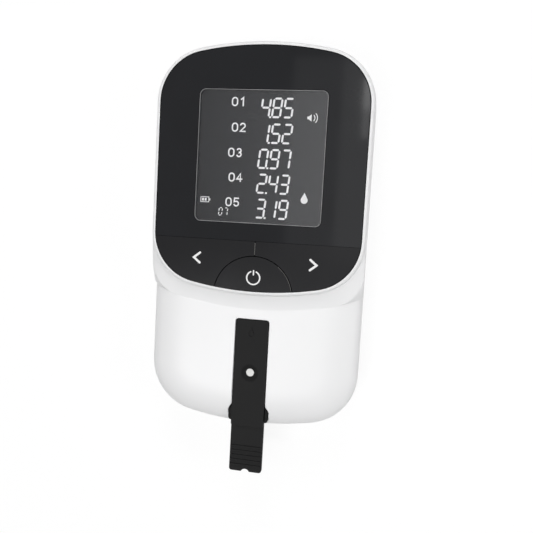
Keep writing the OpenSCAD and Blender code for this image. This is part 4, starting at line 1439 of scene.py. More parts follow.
    def screws(self) -> None:
        """Four case screws with domed heads, a cross recess and a shank whose radius waves."""
        span = Span.of("case_screws")
        head, radius, shank, dome = self.head_height, self.head_radius, self.shank_radius, 0.7
        length, turns, depth = span.size.z - head, 24, 0.12
        level = np.linspace(0, length - 0.4, turns * 4 + 1)
        thread = shank - depth * (1 - np.cos(2 * np.pi * level / (length / turns))) / 2
        profile = np.vstack([
            [(0, 0)],
            arc((radius - dome, dome), dome, -90, 0, 5),
            [(radius, head), (shank, head)],
            np.column_stack([thread, level + head]),
            [(shank * 0.6, length + head), (0, length + head)],
        ])
        long, narrow, deep = 1.7, 0.3, 0.9
        screws = []
        for x, y in self.pillars:
            cross = [block(-a, a, -b, b, -OVER, deep) for a, b in ((long, narrow), (narrow, long))]
            screws.append(placed(carve(revolve("screw", profile, 40), Carve.CUT, cross), x, y, span.low.z))
        mount(polish(joined("screws_of_casing", screws)), self.body, [SCREW], ["case_screws"])

    def build(self) -> None:
        """Makes the casing's pieces."""
        self.upper()
        self.lower()
        self.rubber_feet()
        self.screws()


# The front


@dataclass(frozen=True)
class Digits:
    """Size of seven-segment digits: the pitch runs from one to the next, the stroke is a segment's width."""

    height: float
    width: float
    pitch: float
    stroke: float


@dataclass
class Display:
    """Black panel, clear lens, display cell and what it shows."""

    body: str = "casing"
    window_radius: float = 2.3
    edge_band: float = 0.22
    edge: float = 0.22
    opening_edge: float = 0.2
    film: float = 0.03
    # Readings: their texts, middles and right edge, and the gap and slant of their segments
    rows: tuple[str, ...] = ("4.85", "1.52", "0.97", "2.43", "3.19")
    row_y: tuple[float, ...] = (17.6, 8.57, -0.4, -9.24, -18.17)
    right_edge: float = 10.6
    large: Digits = Digits(7.2, 3.6, 4.1, 0.72)
    gap: float = 0.15
    slant: float = 0.1
    # Small count: its text, right edge and middle
    count: tuple[str, float, float] = ("07", -11.2, -19.9)
    small: Digits = Digits(3.0, 1.5, 2.0, 0.32)
    # Row numbers: places, size, and distances from digit to digit and from the row's middle
    label_x: tuple[float, ...] = (-8.85, -8.4, -9.3, -8.7, -9.4)
    label_height: float = 3.3
    label_stroke: float = 0.5
    label_space: float = 1.0
    label_right: float = 0.4
    label_up: float = 1.9
    # Places of the symbols, from the display's centre
    sounder_at: tuple[float, float] = (16.0, 14.4)
    drop_at: tuple[float, float] = (16.6, -14.4)
    battery_at: tuple[float, float] = (-19.9, -15.8)

    def build(self, casing: Casing) -> None:
        """Makes the display's pieces.

        Args:
            casing: The casing, for its plans and places.
        """
        self.window = Span.of("display_window")
        self.centre = (self.window.centre.x, self.window.centre.y)
        self.face = Span.of("lcd_glass").high.z
        self.panel(casing)
        self.lens()
        self.figures()
        self.symbols()
        dress_node("lcd_glass", DISPLAY)

    def panel(self, casing: Casing) -> None:
        """Panel over the display zone, with soft edges and a rounded opening.

        Args:
            casing: The casing, for its plans and places.
        """
        span = Span.of("front_panel")
        low, high = span.low.z, span.high.z
        panel = prism("panel_of_front", casing.head_plan(casing.rim_width), low, high, 0.0, self.edge)
        carve(panel, Carve.CUT, [block(-casing.half, casing.half, casing.low, span.low.y, 0, 2 * high)])
        size = self.window.size
        opening = round_rect(self.centre, size.x + 0.2, size.y + 0.2, self.window_radius, 12)
        carve(panel, Carve.CUT, [flared(opening, low - OVER, high, self.opening_edge, high + OVER)])
        mount(polish(panel), self.body, [PANEL], ["front_panel"])

    def lens(self) -> None:
        """Clear lens whose side and a thin band round its face are pale grey, a painted highlight along the
        window's edge.

        Only its two flat faces, the ones with more than four corners, are clear.
        """
        span = self.window
        outline = round_rect(*span.plan, self.window_radius - 0.1, 12)
        steps = [(0, span.low.z), (0, span.high.z - 0.1), (0.04, span.high.z - 0.03), (0.1, span.high.z),
                 (self.edge_band, span.high.z)]
        lens = polish(loft("lens_of_display", [lift(inset(outline, depth), z) for depth, z in steps]))
        corners = np.zeros(len(lens.data.polygons), np.int32)
        lens.data.polygons.foreach_get("loop_total", corners)
        second_finish(lens, corners <= 4)
        mount(lens, self.body, [WINDOW, WINDOW_EDGE_HIGHLIGHT], ["display_window"])

    # Lit segments of each digit, and middle lines of plain numerals one wide and one and a half high
    SEGMENTS = {"0": "abcdef", "1": "bc", "2": "abdeg", "3": "abcdg", "4": "bcfg", "5": "acdfg",
                "6": "acdefg", "7": "abc", "8": "abcdefg", "9": "abcdfg"}
    NUMERALS = (
        np.vstack([arc((0.5, 1.0), 0.5, 0, 180, 10), arc((0.5, 0.5), 0.5, 180, 360, 10), [(1, 1)]]),
        np.array([(0.2, 1.2), (0.6, 1.5), (0.6, 0)]),
        np.vstack([arc((0.5, 1.05), 0.45, 160, -25, 10), [(0.03, 0), (1, 0)]]),
        np.vstack([arc((0.5, 1.12), 0.38, 150, -80, 8), arc((0.5, 0.4), 0.42, 80, -155, 10)]),
        np.array([(0.7, 0), (0.7, 1.5), (0, 0.42), (1, 0.42)]),
        np.vstack([[(0.9, 1.5), (0.15, 1.5), (0.08, 0.82)], arc((0.5, 0.47), 0.45, 120, -155, 12)]),
    )

    def digit(self, sign: str, size: Digits) -> np.ndarray:
        """Outlines of one seven-segment digit, its lower left corner at the origin.

        A segment is a bar with pointed ends between two of the six corners of the figure's middle line.

        Args:
            sign: The digit.
            size: Its size.

        Returns:
            One outline a lit segment, upright.
        """
        half = size.stroke / 2
        x1, x2, y1, y0, y2 = half, size.width - half, half, size.height / 2, size.height - half
        ends = {"a": (x1, y2, x2, y2), "b": (x2, y0, x2, y2), "c": (x2, y1, x2, y0), "d": (x1, y1, x2, y1),
                "e": (x1, y1, x1, y0), "f": (x1, y0, x1, y2), "g": (x1, y0, x2, y0)}
        lit = np.array([ends[s] for s in self.SEGMENTS[sign]])
        start, stop = lit[:, :2], lit[:, 2:]
        along = (stop - start) / np.linalg.norm(stop - start, axis=1, keepdims=True)
        start, stop = start + along * self.gap, stop - along * self.gap
        across = np.column_stack([-along[:, 1], along[:, 0]]) * size.stroke / 2
        neck = along * size.stroke / 2
        return np.stack([start, start + neck + across, stop - neck + across, stop, stop - neck - across,
                         start + neck - across], 1)

    def number(self, text: str, right: float, middle: float, size: Digits) -> list[np.ndarray]:
        """Outlines of a slanted number with its right edge and middle at a place of the display.

        Args:
            text: Digits, with or without a point.
            right: Place of the right edge, from the display's centre.
            middle: Height of the number's middle, from the display's centre.
            size: Size of the digits.

        Returns:
            The outlines, in the frame's millimetres.
        """
        digits = text.replace(".", "")
        lefts = [right - size.width - size.pitch * (len(digits) - 1 - i) for i in range(len(digits))]
        outlines = [bar + (left, 0) for left, sign in zip(lefts, digits) for bar in self.digit(sign, size)]
        if "." in text:
            dot = lefts[text.index(".")] - (size.pitch - size.width) / 2
            outlines.append(rectangle(dot - size.stroke / 2, dot + size.stroke / 2, 0, size.stroke * 0.9))
        lean = np.array([[1, 0], [self.slant, 1]])
        place = self.at((0, middle - size.height / 2))
        return [bar @ lean + place for bar in outlines]

    def at(self, place: Sequence[float]) -> tuple[float, float]:
        """Place in the frame of one that is given from the display's centre."""
        return self.centre[0] + place[0], self.centre[1] + place[1]

    def film_of(self, name: str, outlines: Sequence[np.ndarray]) -> Piece:
        """Thin film on the display cell, one flat solid an outline."""
        return joined(name, [prism("film", o, self.face, self.face + self.film) for o in outlines])

    def figures(self) -> None:
        """Five rows of readings, and a small count under them."""
        outlines = [outline for text, y in zip(self.rows, self.row_y)
                    for outline in self.number(text, self.right_edge, y, self.large)]
        outlines += self.number(*self.count, self.small)
        mount(self.film_of("figures_of_display", outlines), self.body, [FIGURES])

    def symbols(self) -> None:
        """Row numbers, a sounder symbol, a drop and a battery symbol."""
        x0, y0 = self.centre
        scale = (self.label_height - self.label_stroke) / 1.5
        outlines = []
        for row, (x, y) in enumerate(zip(self.label_x, self.row_y), 1):
            base = y0 + y + self.label_up - self.label_height / 2 + self.label_stroke / 2
            for column, sign in enumerate((0, row), -1):
                left = x0 + x + column * (scale + self.label_space) + self.label_right
                outlines.append(ribbon(self.NUMERALS[sign] * scale + (left, base), self.label_stroke))
        outlines += self.sounder(self.at(self.sounder_at)) + self.drop(self.at(self.drop_at))
        outlines += self.battery(self.at(self.battery_at))
        mount(self.film_of("symbols_of_display", outlines), self.body, [FIGURES])

    def sounder(self, place: tuple[float, float]) -> list[np.ndarray]:
        """Small horn with two waves.

        Args:
            place: Middle of the horn's left end.

        Returns:
            The outlines.
        """
        horn = np.array([(0, -0.5), (0.55, -0.5), (1.5, -1.3), (1.5, 1.3), (0.55, 0.5), (0, 0.5)]) + place
        waves = [ribbon(arc((place[0] + 1.2, place[1]), r, -42, 42, 10), 0.3) for r in (1.45, 2.35)]
        return [horn, *waves]

    def drop(self, place: tuple[float, float]) -> list[np.ndarray]:
        """Drop: a round foot with two straight sides that meet at the tip."""
        return [np.vstack([arc(place, 1.25, 150, 390, 20), [(place[0], place[1] + 2.7)]])]

    def battery(self, place: tuple[float, float]) -> list[np.ndarray]:
        """Battery symbol: an outlined box with a nub and two bars.

        Args:
            place: Middle of the box.

        Returns:
            The outlines.
        """
        box = np.array([(-1.5, 0.9), (-1.5, -0.9), (1.5, -0.9), (1.5, 0.9), (-1.2, 0.9)])
        parts = [(1.7, 2.05, -0.4, 0.4), (-1.05, -0.35, -0.5, 0.5), (-0.05, 0.65, -0.5, 0.5)]
        return [ribbon(box + place, 0.25)] + [rectangle(*part) + place for part in parts]


@dataclass
class Keypad:
    """Two arrow keys and the half-round power key, with their printed marks."""

    gap: float = 0.3
    seam: float = 0.1
    power_radius: float = 14.6
    power_below: float = 0.1
    edge: float = 0.13
    crisp: float = 0.03
    cap: float = 2.5
    stem_width: float = 4.0
    rib: float = 0.16
    rib_from_panel: float = 0.5
    rib_from_power: float = 0.6
    # Painted highlight along the power key's edge: its width, and the angles between which it runs
    highlight_width: float = 0.1
    highlight_angles: tuple[float, float] = (12.0, 52.0)
    mark_height: float = 0.02
    print_depth: float = 0.05
    arrow_stroke: float = 0.78
    ring_diameter: float = 4.8
    ring_stroke: float = 0.5
    ring_opening: float = 50.0
    ring_down: float = 0.1

    def build(self, casing: Casing) -> None:
        """Makes the keys and dresses their plungers.

        Args:
            casing: The casing, for its plans and places.
        """
        self.top = Span.of("power_key").high.z
        self.base = self.top - self.cap
        self.high = casing.key_line + self.gap / 2 - self.seam
        self.centre = (0.0, casing.head_low - self.power_below)
        self.arrow(casing, "left_key", -1)
        self.arrow(casing, "right_key", 1)
        self.power(casing)
        self.painted_highlights(casing)
        for node in ("left_plunger", "right_plunger", "power_plunger"):
            dress_node(node, PLUNGER)

    def stem(self, node: str) -> Piece:
        """Stem under a key, down to its plunger."""
        plunger = Span.of(node.replace("key", "plunger"))
        return rod(plunger.centre, self.stem_width, plunger.high.z, self.base + 0.5)

    def blank(self, casing: Casing, name: str, left: float, right: float) -> Piece:
        """Part of the key zone between two X, rounded along the rim and crisp towards the next key."""
        blank = prism(name, casing.head_plan(casing.rim_width + 0.05), self.base, self.top, 0.0, self.edge)
        return carve(blank, Carve.KEEP, [block(left, right, casing.low, self.high, 0, 2 * self.top)])

    def arrow(self, casing: Casing, node: str, side: int) -> None:
        """Arrow key: its half of the key zone, less the power key's circle.

        Args:
            casing: The casing, for its plans and places.
            node: Name of the key's node and body.
            side: -1 for the left key and 1 for the right one.
        """
        left, right = sorted((side * self.gap / 2, side * casing.half))
        key = self.blank(casing, f"{node}_cap", left, right)
        disc = circle(self.centre, 2 * self.power_radius + self.gap, 160)
        carve(key, Carve.CUT, [flared(disc, self.base - OVER, self.top, self.crisp, self.top + OVER)])
        carve(key, Carve.ADD, [self.stem(node)])
        mount(polish(key), node, [KEY], [node])
        self.mark(f"{node}_mark", node, [self.arrow_line(side)], self.arrow_stroke)

    def arrow_line(self, side: int) -> np.ndarray:
        """Middle line of an arrow: two short strokes that meet at the outer tip."""
        tip_x, tail_x, middle, rise = 22.6, 20.3, 1.1, 1.85
        return np.array([(tail_x, middle + rise), (tip_x, middle), (tail_x, middle - rise)]) * (side, 1)

    def power(self, casing: Casing) -> None:
        """Power key: what the key zone and a disc share.

        Args:
            casing: The casing, for its plans and places.
        """
        key = self.blank(casing, "power_key_cap", -casing.half, casing.half)
        disc = circle(self.centre, 2 * self.power_radius - self.gap, 160)
        carve(key, Carve.KEEP, [prism("cutter", disc, self.base - OVER, self.top + 0.01, 0.0, self.crisp)])
        carve(key, Carve.ADD, [self.stem("power_key")])
        mount(polish(key), "power_key", [KEY], ["power_key"])
        radius, middle = self.ring_diameter / 2, Span.of("power_plunger").centre.y - self.ring_down
        ring = arc((0.0, middle), radius, 90 + self.ring_opening / 2, 450 - self.ring_opening / 2, 40)
        stem = np.array([(0, middle + radius + 0.25), (0, middle + 1.1)])
        self.mark("power_key_mark", "power_key", [ring, stem], self.ring_stroke)

    def painted_highlights(self, casing: Casing) -> None:
        """Rib in the gap between the arrow keys and a film along the power key's right side, both pale as
        painted highlights.

        Args:
            casing: The casing, for its plans and places.
        """
        line = np.array([(0.0, casing.key_line - self.rib_from_panel),
                         (0.0, self.centre[1] + self.power_radius + self.rib_from_power)])
        rib = prism("highlight_rib_between_keys", ribbon(line, self.rib), self.base, self.top - self.print_depth)
        mount(rib, casing.body, [PAINTED_HIGHLIGHT])
        # Pale film along the power key's right edge: a painted highlight
        edge = arc(self.centre, self.power_radius - self.gap / 2 - self.highlight_width, *self.highlight_angles, 40)
        mount(self.print_or_highlight_film("highlight_on_power_key_edge", ribbon(edge, self.highlight_width)), "power_key", [PAINTED_HIGHLIGHT])

    def print_or_highlight_film(self, name: str, outline: np.ndarray) -> Piece:
        """Thin film that stands a little over the keys' faces."""
        return prism(name, outline, self.top - self.print_depth, self.top + self.mark_height)

    def mark(self, name: str, body: str, lines: Sequence[np.ndarray], stroke: float) -> None:
        """Printed mark on a key: a film along each line."""
        mount(joined(name, [self.print_or_highlight_film("film", ribbon(line, stroke)) for line in lines]), body, [PRINT])


# The test card and its holder


@dataclass
class Holder:
    """Black tray that the card lies in, with two ears at its mouth that swell out beside the card."""

    body: str = "card_holder"
    wall_top: float = 21.3
    edge: float = 0.2
    card_gap: float = 0.15
    groove_edge: float = 0.12
    light_hole: float = 8.0
    ear_length: float = 6.8
    flare: float = 3.4
    slant: float = 0.9

    @classmethod
    def swell(cls, narrow: float, wide: float, start: float) -> np.ndarray:
        """Right side of the ears' flare: half the width grows as (1 - cos t) / 2 over the flare's length.

        Args:
            narrow: Half width beside the card.
            wide: Half width beside the ears.
            start: Y at which the flare starts.

        Returns:
            Points from the narrow end to the wide one.
        """
        turn = np.linspace(0, np.pi, 9)
        return np.column_stack([narrow + (wide - narrow) * (1 - np.cos(turn)) / 2,
                                start - cls.flare * turn / np.pi])

    @classmethod
    def slot_plan(cls, narrow: float, wide: float, high: float, start: float, low: float,
                  corner: float = 1.1) -> np.ndarray:
        """Plan of the slot over the card, which swells out where the ears are.

        Args:
            narrow: Half width beside the card.
            wide: Half width beside the ears.
            high: Y of the upper end.
            start: Y at which the slot begins to swell.
            low: Y of the lower end.
            corner: Radius of the two upper corners.

        Returns:
            A closed outline.
        """
        right = np.vstack([arc((narrow - corner, high - corner), corner, 90, 0, 6),
                           cls.swell(narrow, wide, start), [(wide, low)]])
        return np.vstack([right, right[::-1] * [-1, 1]])

    def ear_plan(self, narrow: float, wide: float, start: float, low: float) -> np.ndarray:
        """Plan of the ears: they swell out beside the card and turn in again, rounded, at the mouth.

        Args:
            narrow: Half width beside the card.
            wide: Half width beside the ears.
            start: Y at which the ears begin to swell.
            low: Y of the mouth.

        Returns:
            A closed outline.
        """
        turn = np.linspace(0, np.pi / 2, 5)
        mouth = np.column_stack([wide - self.slant * (1 - np.cos(turn)),
                                 low + 1.3 * self.slant * (1 - np.sin(turn))])
        right = np.vstack([self.swell(narrow, wide, start), mouth])
        return np.vstack([right, right[::-1] * [-1, 1]])

    def build(self, casing: Casing) -> None:
        """Makes the holder: a tray with the card's groove, and ears that stand up beside the card.

        Args:
            casing: The casing, for its gap.
        """
        span, card = Span.of("card_holder"), Span.of("card_base")
        side, mouth, high = span.high.x, span.low.y, span.high.z
        narrow, floor = card.high.x + self.card_gap, card.low.z - casing.gap
        tray = rectangle(-side, side, mouth + self.slant, span.high.y)
        holder = prism("holder_of_card", tray, span.low.z, self.wall_top, 0.1, self.edge)
        ears = self.ear_plan(narrow, side, mouth + self.ear_length, mouth)
        carve(holder, Carve.ADD, [prism("cutter", ears, span.low.z + 0.02, high, 0.08, self.edge)])
        groove = rectangle(-narrow, narrow, mouth - OVER, card.high.y + self.card_gap)
        carve(holder, Carve.CUT, [
            flared(groove, floor, self.wall_top, self.groove_edge, self.wall_top + 2 * APART),
            flared(groove, floor + 0.01, high, self.groove_edge, high + OVER),
            rod((0, Span.of("reagent_pad").centre.y), self.light_hole, 0, floor + OVER)])
        mount(polish(holder), self.body, [HOLDER], ["card_holder"])


@dataclass
class TestCard:
    """Lower half with grip ridges, upper half with the sample well, and the reagent pad."""

    body: str = "test_card"
    corner: float = 1.0
    edge: float = 0.16
    ridges: int = 5
    ridge_pitch: float = 1.8
    ridge_from_tip: float = 2.0
    ridge_height: float = 0.3
    ridge_short: float = 0.6
    notch: float = 1.7
    notch_length: float = 1.0
    well: float = 3.3
    hole: float = 1.5
    # Engraved drop: place of its foot from the card's end, tip, radius, line and depth
    drop_from_end: float = 5.2
    drop_tip: float = 2.7
    drop_radius: float = 1.1
    drop_line: float = 0.34
    engraving: float = 0.2
    # Pad: depths of the dome's middle and rim under the pad's box
    dome_middle: float = 0.04
    dome_rim: float = 0.1

    def build(self) -> None:
        """Makes the card's three pieces."""
        self.lower_half()
        self.upper_half()
        self.pad()

    def lower_half(self) -> None:
        """Long tongue with rounded ridges, a notch in its tip and the seat of the pad."""
        span, cover, pad = Span.of("card_base"), Span.of("card_cover"), Span.of("reagent_pad")
        top = cover.low.z
        outline = round_rect(*span.plan, self.corner, 6)
        tongue = prism("tongue_of_card", outline, span.low.z, top, 0.1, self.edge)
        carve(tongue, Carve.ADD, [self.ridge(span, top, i) for i in range(self.ridges)])
        notch = circle((0, span.low.y + self.notch_length - self.notch), 2 * self.notch, 64)
        carve(tongue, Carve.CUT, [
            flared(notch, 0, top, 0.12, top + OVER),
            rod((0, pad.centre.y), pad.size.x + 0.1, pad.low.z, top + OVER),
            rod((0, pad.centre.y), pad.size.x - OVER, 0, top + OVER)])
        mount(polish(tongue), self.body, [CARD], ["card_base"])

    def ridge(self, span: Span, top: float, index: int) -> Piece:
        """Grip ridge across the card, a low rounded bar.

        Args:
            span: Box of the card's lower half.
            top: Level of its face.
            index: Number of the ridge, counted from the tip.

        Returns:
            The ridge.
        """
        y = span.low.y + self.ridge_from_tip + (index + 0.25) * self.ridge_pitch
        outline = round_rect((0, y), span.size.x - self.ridge_short, self.ridge_pitch / 2, 0.3, 4)
        return prism("cutter", outline, top - 0.1, top + self.ridge_height, 0.0, 0.25)

    def upper_half(self) -> None:
        """Flat cover with the conical sample well and an engraved drop at its inner end."""
        span = Span.of("card_cover")
        outline = round_rect(*span.plan, self.corner, 6)
        cover = prism("cover_of_card", outline, span.low.z, span.high.z, 0.0, self.edge)
        centre = (0.0, Span.of("reagent_pad").centre.y)
        low, high = span.low.z, span.high.z
        radii = [(self.hole, low - OVER), (self.hole, low + 0.2), (self.hole + 0.12, low + 0.28),
                 (self.well - 0.35, high - 0.12), (self.well - 0.12, high - 0.03), (self.well + 0.1, high),
                 (self.well + 0.1, high + OVER)]
        well = loft("cutter", [lift(circle(centre, 2 * r), z) for r, z in radii])
        mark = self.drop_mark((0.0, span.high.y - self.drop_from_end), high)
        carve(cover, Carve.CUT, [well, mark])
        mount(polish(cover, 24), self.body, [CARD], ["card_cover"])

    def drop_mark(self, place: tuple[float, float], face: float) -> Piece:
        """Groove along the outline of a drop: a round foot whose sides run to a tip.

        Args:
            place: Centre of the round foot.
            face: Level of the card's face.

        Returns:
            The cutter.
        """
        drop = np.vstack([[(place[0], place[1] + self.drop_tip)], arc(place, self.drop_radius, 156, 384, 24)])
        groove = prism("cutter", drop, face - self.engraving, face + OVER)
        core = prism("core", inset(drop, self.drop_line), face - OVER, face + 2 * OVER)
        return carve(groove, Carve.CUT, [core])

    def pad(self) -> None:
        """Reagent pad, a disc of membrane whose face is slightly domed."""
        span = Span.of("reagent_pad")
        radius, share = span.size.x / 2, np.linspace(1, 0, 9)
        dome = span.high.z - self.dome_middle - (self.dome_rim - self.dome_middle) * share ** 2
        profile = np.vstack([[(0, span.low.z), (radius, span.low.z)],
                             np.column_stack([radius * share, dome])])
        pad = placed(revolve("membrane_of_card", profile, 48), 0, span.centre.y, 0)
        mount(polish(pad), self.body, [PAD], ["reagent_pad"])


# The battery compartment


@dataclass
class BatteryBay:
    """Door, cells, springs and contact plates."""

    cell_diameter: float = 10.5
    cell_length: float = 44.5
    cells: int = 4
    pitch: float = 10.8
    nub_diameter: float = 3.6
    nub: float = 0.8
    wire: float = 0.7
    turns: float = 3.0
    spring_wide: float = 3.7
    spring_narrow: float = 2.3
    spring_length: float = 3.7
    plate: float = 9.0
    plate_thickness: float = 0.4
    tab: float = 1.2
    clips: tuple[float, float] = (-14.0, 14.0)
    clip_width: float = 5.0
    clip_length: float = 2.2
    clip_thickness: float = 0.9
    clip_gap: float = 0.3
    grooves: int = 4
    groove_pitch: float = 2.4
    groove_from_end: float = 6.9
    groove_length: float = 12.0
    groove_width: float = 1.0
    groove_depth: float = 0.4

    def build(self) -> None:
        """Makes the compartment's pieces."""
        self.span = Span.of("battery_cells")
        self.plates = Span.of("battery_contacts")
        self.middle = self.plates.centre.y
        self.door()
        self.batteries()
        self.springs()
        self.contacts()

    def door(self) -> None:
        """Door with soft edges, two clips and thumb grooves near its free end."""
        span = Span.of("battery_door")
        low, high = span.low.z, span.high.z
        outline = round_rect((span.centre.x, span.centre.y - self.tab / 2), span.size.x,
                             span.size.y - self.tab, 0.6)
        door = prism("door_of_battery_bay", outline, low, high, 0.22, 0.1)
        plans = [round_rect((x, span.high.y - self.clip_length / 2), self.clip_width, self.clip_length, 0.4)
                 for x in self.clips]
        carve(door, Carve.ADD, [prism("cutter", plan, high - self.clip_thickness, high, 0.1, 0.1)
                                for plan in plans])
        places = [span.low.y + self.groove_from_end + self.groove_pitch * i for i in range(self.grooves)]
        carve(door, Carve.CUT, [dent(round_rect((0, y), self.groove_length, self.groove_width, 0.45), low,
                                     low + self.groove_depth, 0.12) for y in places])
        mount(polish(door), "battery_door", [DOOR], ["battery_door"])

    def lanes(self) -> list[Matrix]:
        """Place of each cell: its axis along Y, every other one turned round.

        Returns:
            One matrix a cell, in millimetres.
        """
        first = -(self.cells - 1) / 2 * self.pitch
        return [Matrix.Translation((first + i * self.pitch, self.middle, self.span.centre.z))
                @ Matrix.Rotation(np.pi * (i % 2), 4, "Z") @ Matrix.Rotation(-np.pi / 2, 4, "X")
                for i in range(self.cells)]

    def batteries(self) -> None:
        """Four cells: a sleeved can with rounded shoulders, a bare rim at each end and the plus nub."""
        r, nub = self.cell_diameter / 2, self.nub_diameter / 2
        end = self.plates.size.y / 2 - self.plate_thickness
        foot, shoulder = end - self.cell_length, end - self.nub
        profile = np.vstack([
            [(0, foot + 0.25), (r - 2.2, foot + 0.25), (r - 2.0, foot)],
            arc((r - 0.9, foot + 0.5), 0.5, -90, 0, 4),
            arc((r - 0.3, foot + 1.0), 0.3, -90, 0, 4),
            arc((r - 0.3, shoulder - 0.9), 0.3, 0, 90, 4),
            arc((r - 0.9, shoulder - 0.4), 0.4, 0, 90, 4),
            [(nub + 0.3, shoulder), (nub, shoulder + 0.1)],
            arc((nub - 0.25, end - 0.25), 0.25, 0, 90, 3),
            [(0, end)],
        ])
        cells = []
        for place in self.lanes():
            cell = revolve("cell", profile, 56)
            level = face_centres(cell)[:, 2]
            second_finish(cell, (level < foot + 0.95) | (level > shoulder - 0.85))
            cells.append(moved(cell, place))
        mount(polish(joined("cells_of_battery_bay", cells)), "casing", [CELL, CELL_METAL], ["battery_cells"])

    def springs(self) -> None:
        """Four conical springs: a circle of wire carried along a helix whose radius shrinks steadily."""
        steps = int(self.turns * 28)
        share = np.linspace(0, 1, steps + 1)
        turn = 2 * np.pi * self.turns * share
        radius = self.spring_wide + (self.spring_narrow - self.spring_wide) * share
        line = np.column_stack([radius * np.cos(turn), radius * np.sin(turn), self.spring_length * share])
        outward = np.column_stack([np.cos(turn), np.sin(turn), np.zeros_like(turn)])
        angle = np.linspace(0, 2 * np.pi, 13)[:-1]
        ring = outward[:, None] * np.cos(angle)[:, None] + np.array([0, 0, 1.0]) * np.sin(angle)[:, None]
        rings = line[:, None] + ring * self.wire / 2
        start = self.plates.low.y + self.plate_thickness + self.wire / 2 + 0.05 - self.middle
        coils = [moved(placed(loft("coil", list(rings)), 0, 0, start), place) for place in self.lanes()]
        mount(polish(joined("springs_of_battery_bay", coils), 60), "casing", [SPRING], ["battery_springs"])

    def contacts(self) -> None:
        """Contact plates with rounded corners at both ends of each cell."""
        thick, end = self.plate_thickness, self.plates.size.y / 2
        outline = round_rect((0, 0), self.plate, self.plate, 1.0)
        plates = [moved(placed(prism("plate", outline, 0, thick, 0.08, 0.08, 2), 0, 0, level), place)
                  for place in self.lanes() for level in (-end, end - thick)]
        mount(polish(joined("contacts_of_battery_bay", plates)), "casing", [CONTACT], ["battery_contacts"])


# Chip, port and inner pieces


@dataclass
class SideFittings:
    """Code chip in the left side and data port in the head's end."""

    skin: float = 0.4
    back: float = 1.2
    tongue: float = 0.7
    tongue_inset: float = 1.5
    groove: float = 0.6
    groove_depth: float = 0.3
    groove_ends: float = 0.6
    groove_pitch: float = 2.4

    def build(self) -> None:
        """Makes the chip and the port."""
        self.chip()
        self.port()

    def chip(self) -> None:
        """Chip with soft edges and three finger grooves across its outer end."""
        span = Span.of("code_chip")
        outline = round_rect(*span.side_plan, 0.4)
        chip = laid(prism("chip_of_code", outline, span.low.x, span.high.x, 0.15, 0.15), ALONG_X)
        outer, half, ends = span.low.x, self.groove / 2, self.groove_ends
        carve(chip, Carve.CUT, [
            block(outer - OVER, outer + self.groove_depth, y - half, y + half, span.low.z + ends,
                  span.high.z - ends)
            for y in (span.centre.y + self.groove_pitch * i for i in (-1, 0, 1))])
        mount(polish(chip), "code_chip", [CHIP], ["code_chip"])

    def port(self) -> None:
        """Rolled steel shell with rounded corners round a black tongue."""
        span = Span.of("data_port")
        middle, half = span.centre.z, span.size.x / 2 - self.tongue_inset

        def tube(depth: float, low: float, high: float) -> Piece:
            """Solid along Y with the shell's outline, drawn in by a depth.

            Args:
                depth: Distance inwards.
                low: Y of its one end.
                high: Y of its other end.

            Returns:
                The solid.
            """
            outline = round_rect((span.centre.x, middle), span.size.x - 2 * depth,
                                 span.size.z - 2 * depth, 1.0 - depth)
            return laid(prism("port_of_data", outline, low, high), ALONG_Y)

        shell = tube(0, span.low.y, span.high.y)
        carve(shell, Carve.CUT, [tube(self.skin, span.low.y + self.back, span.high.y + OVER)])
        tongue = block(-half, half, span.low.y + self.back / 2, span.high.y - self.tongue_inset,
                       middle - self.tongue / 2, middle + self.tongue / 2)
        second_finish(tongue, np.ones(len(tongue.data.polygons)))
        mount(joined("port_of_data_and_tongue", [polish(shell), tongue]), "casing", [PORT, PORT_TONGUE],
              ["data_port"])


INNER_FINISHES = {
    "lcd_frame": FRAME, "backlight": LIGHT_GUIDE, "zebra_strips": ZEBRA, "tact_switches": SWITCH,
    "main_board": BOARD, "board_chips": PACKAGE, "buzzer": BUZZER, "sensor_board": BOARD,
    "optical_head": FRAME, "lamps": LAMP, "light_sensor": SENSOR, "optical_window": OPTIC,
    "chip_socket": FRAME, "board_screws": SCREW,
}


# The studio


@dataclass(frozen=True)
class Lamp:
    """Soft rectangular light: sizes in millimetres, power in watts, and whether gloss mirrors it."""

    name: str
    place: tuple[float, float, float]
    size: tuple[float, float]
    power: float
    aim: tuple[float, float, float] = (0.0, -10.0, 15.0)
    in_gloss: bool = False


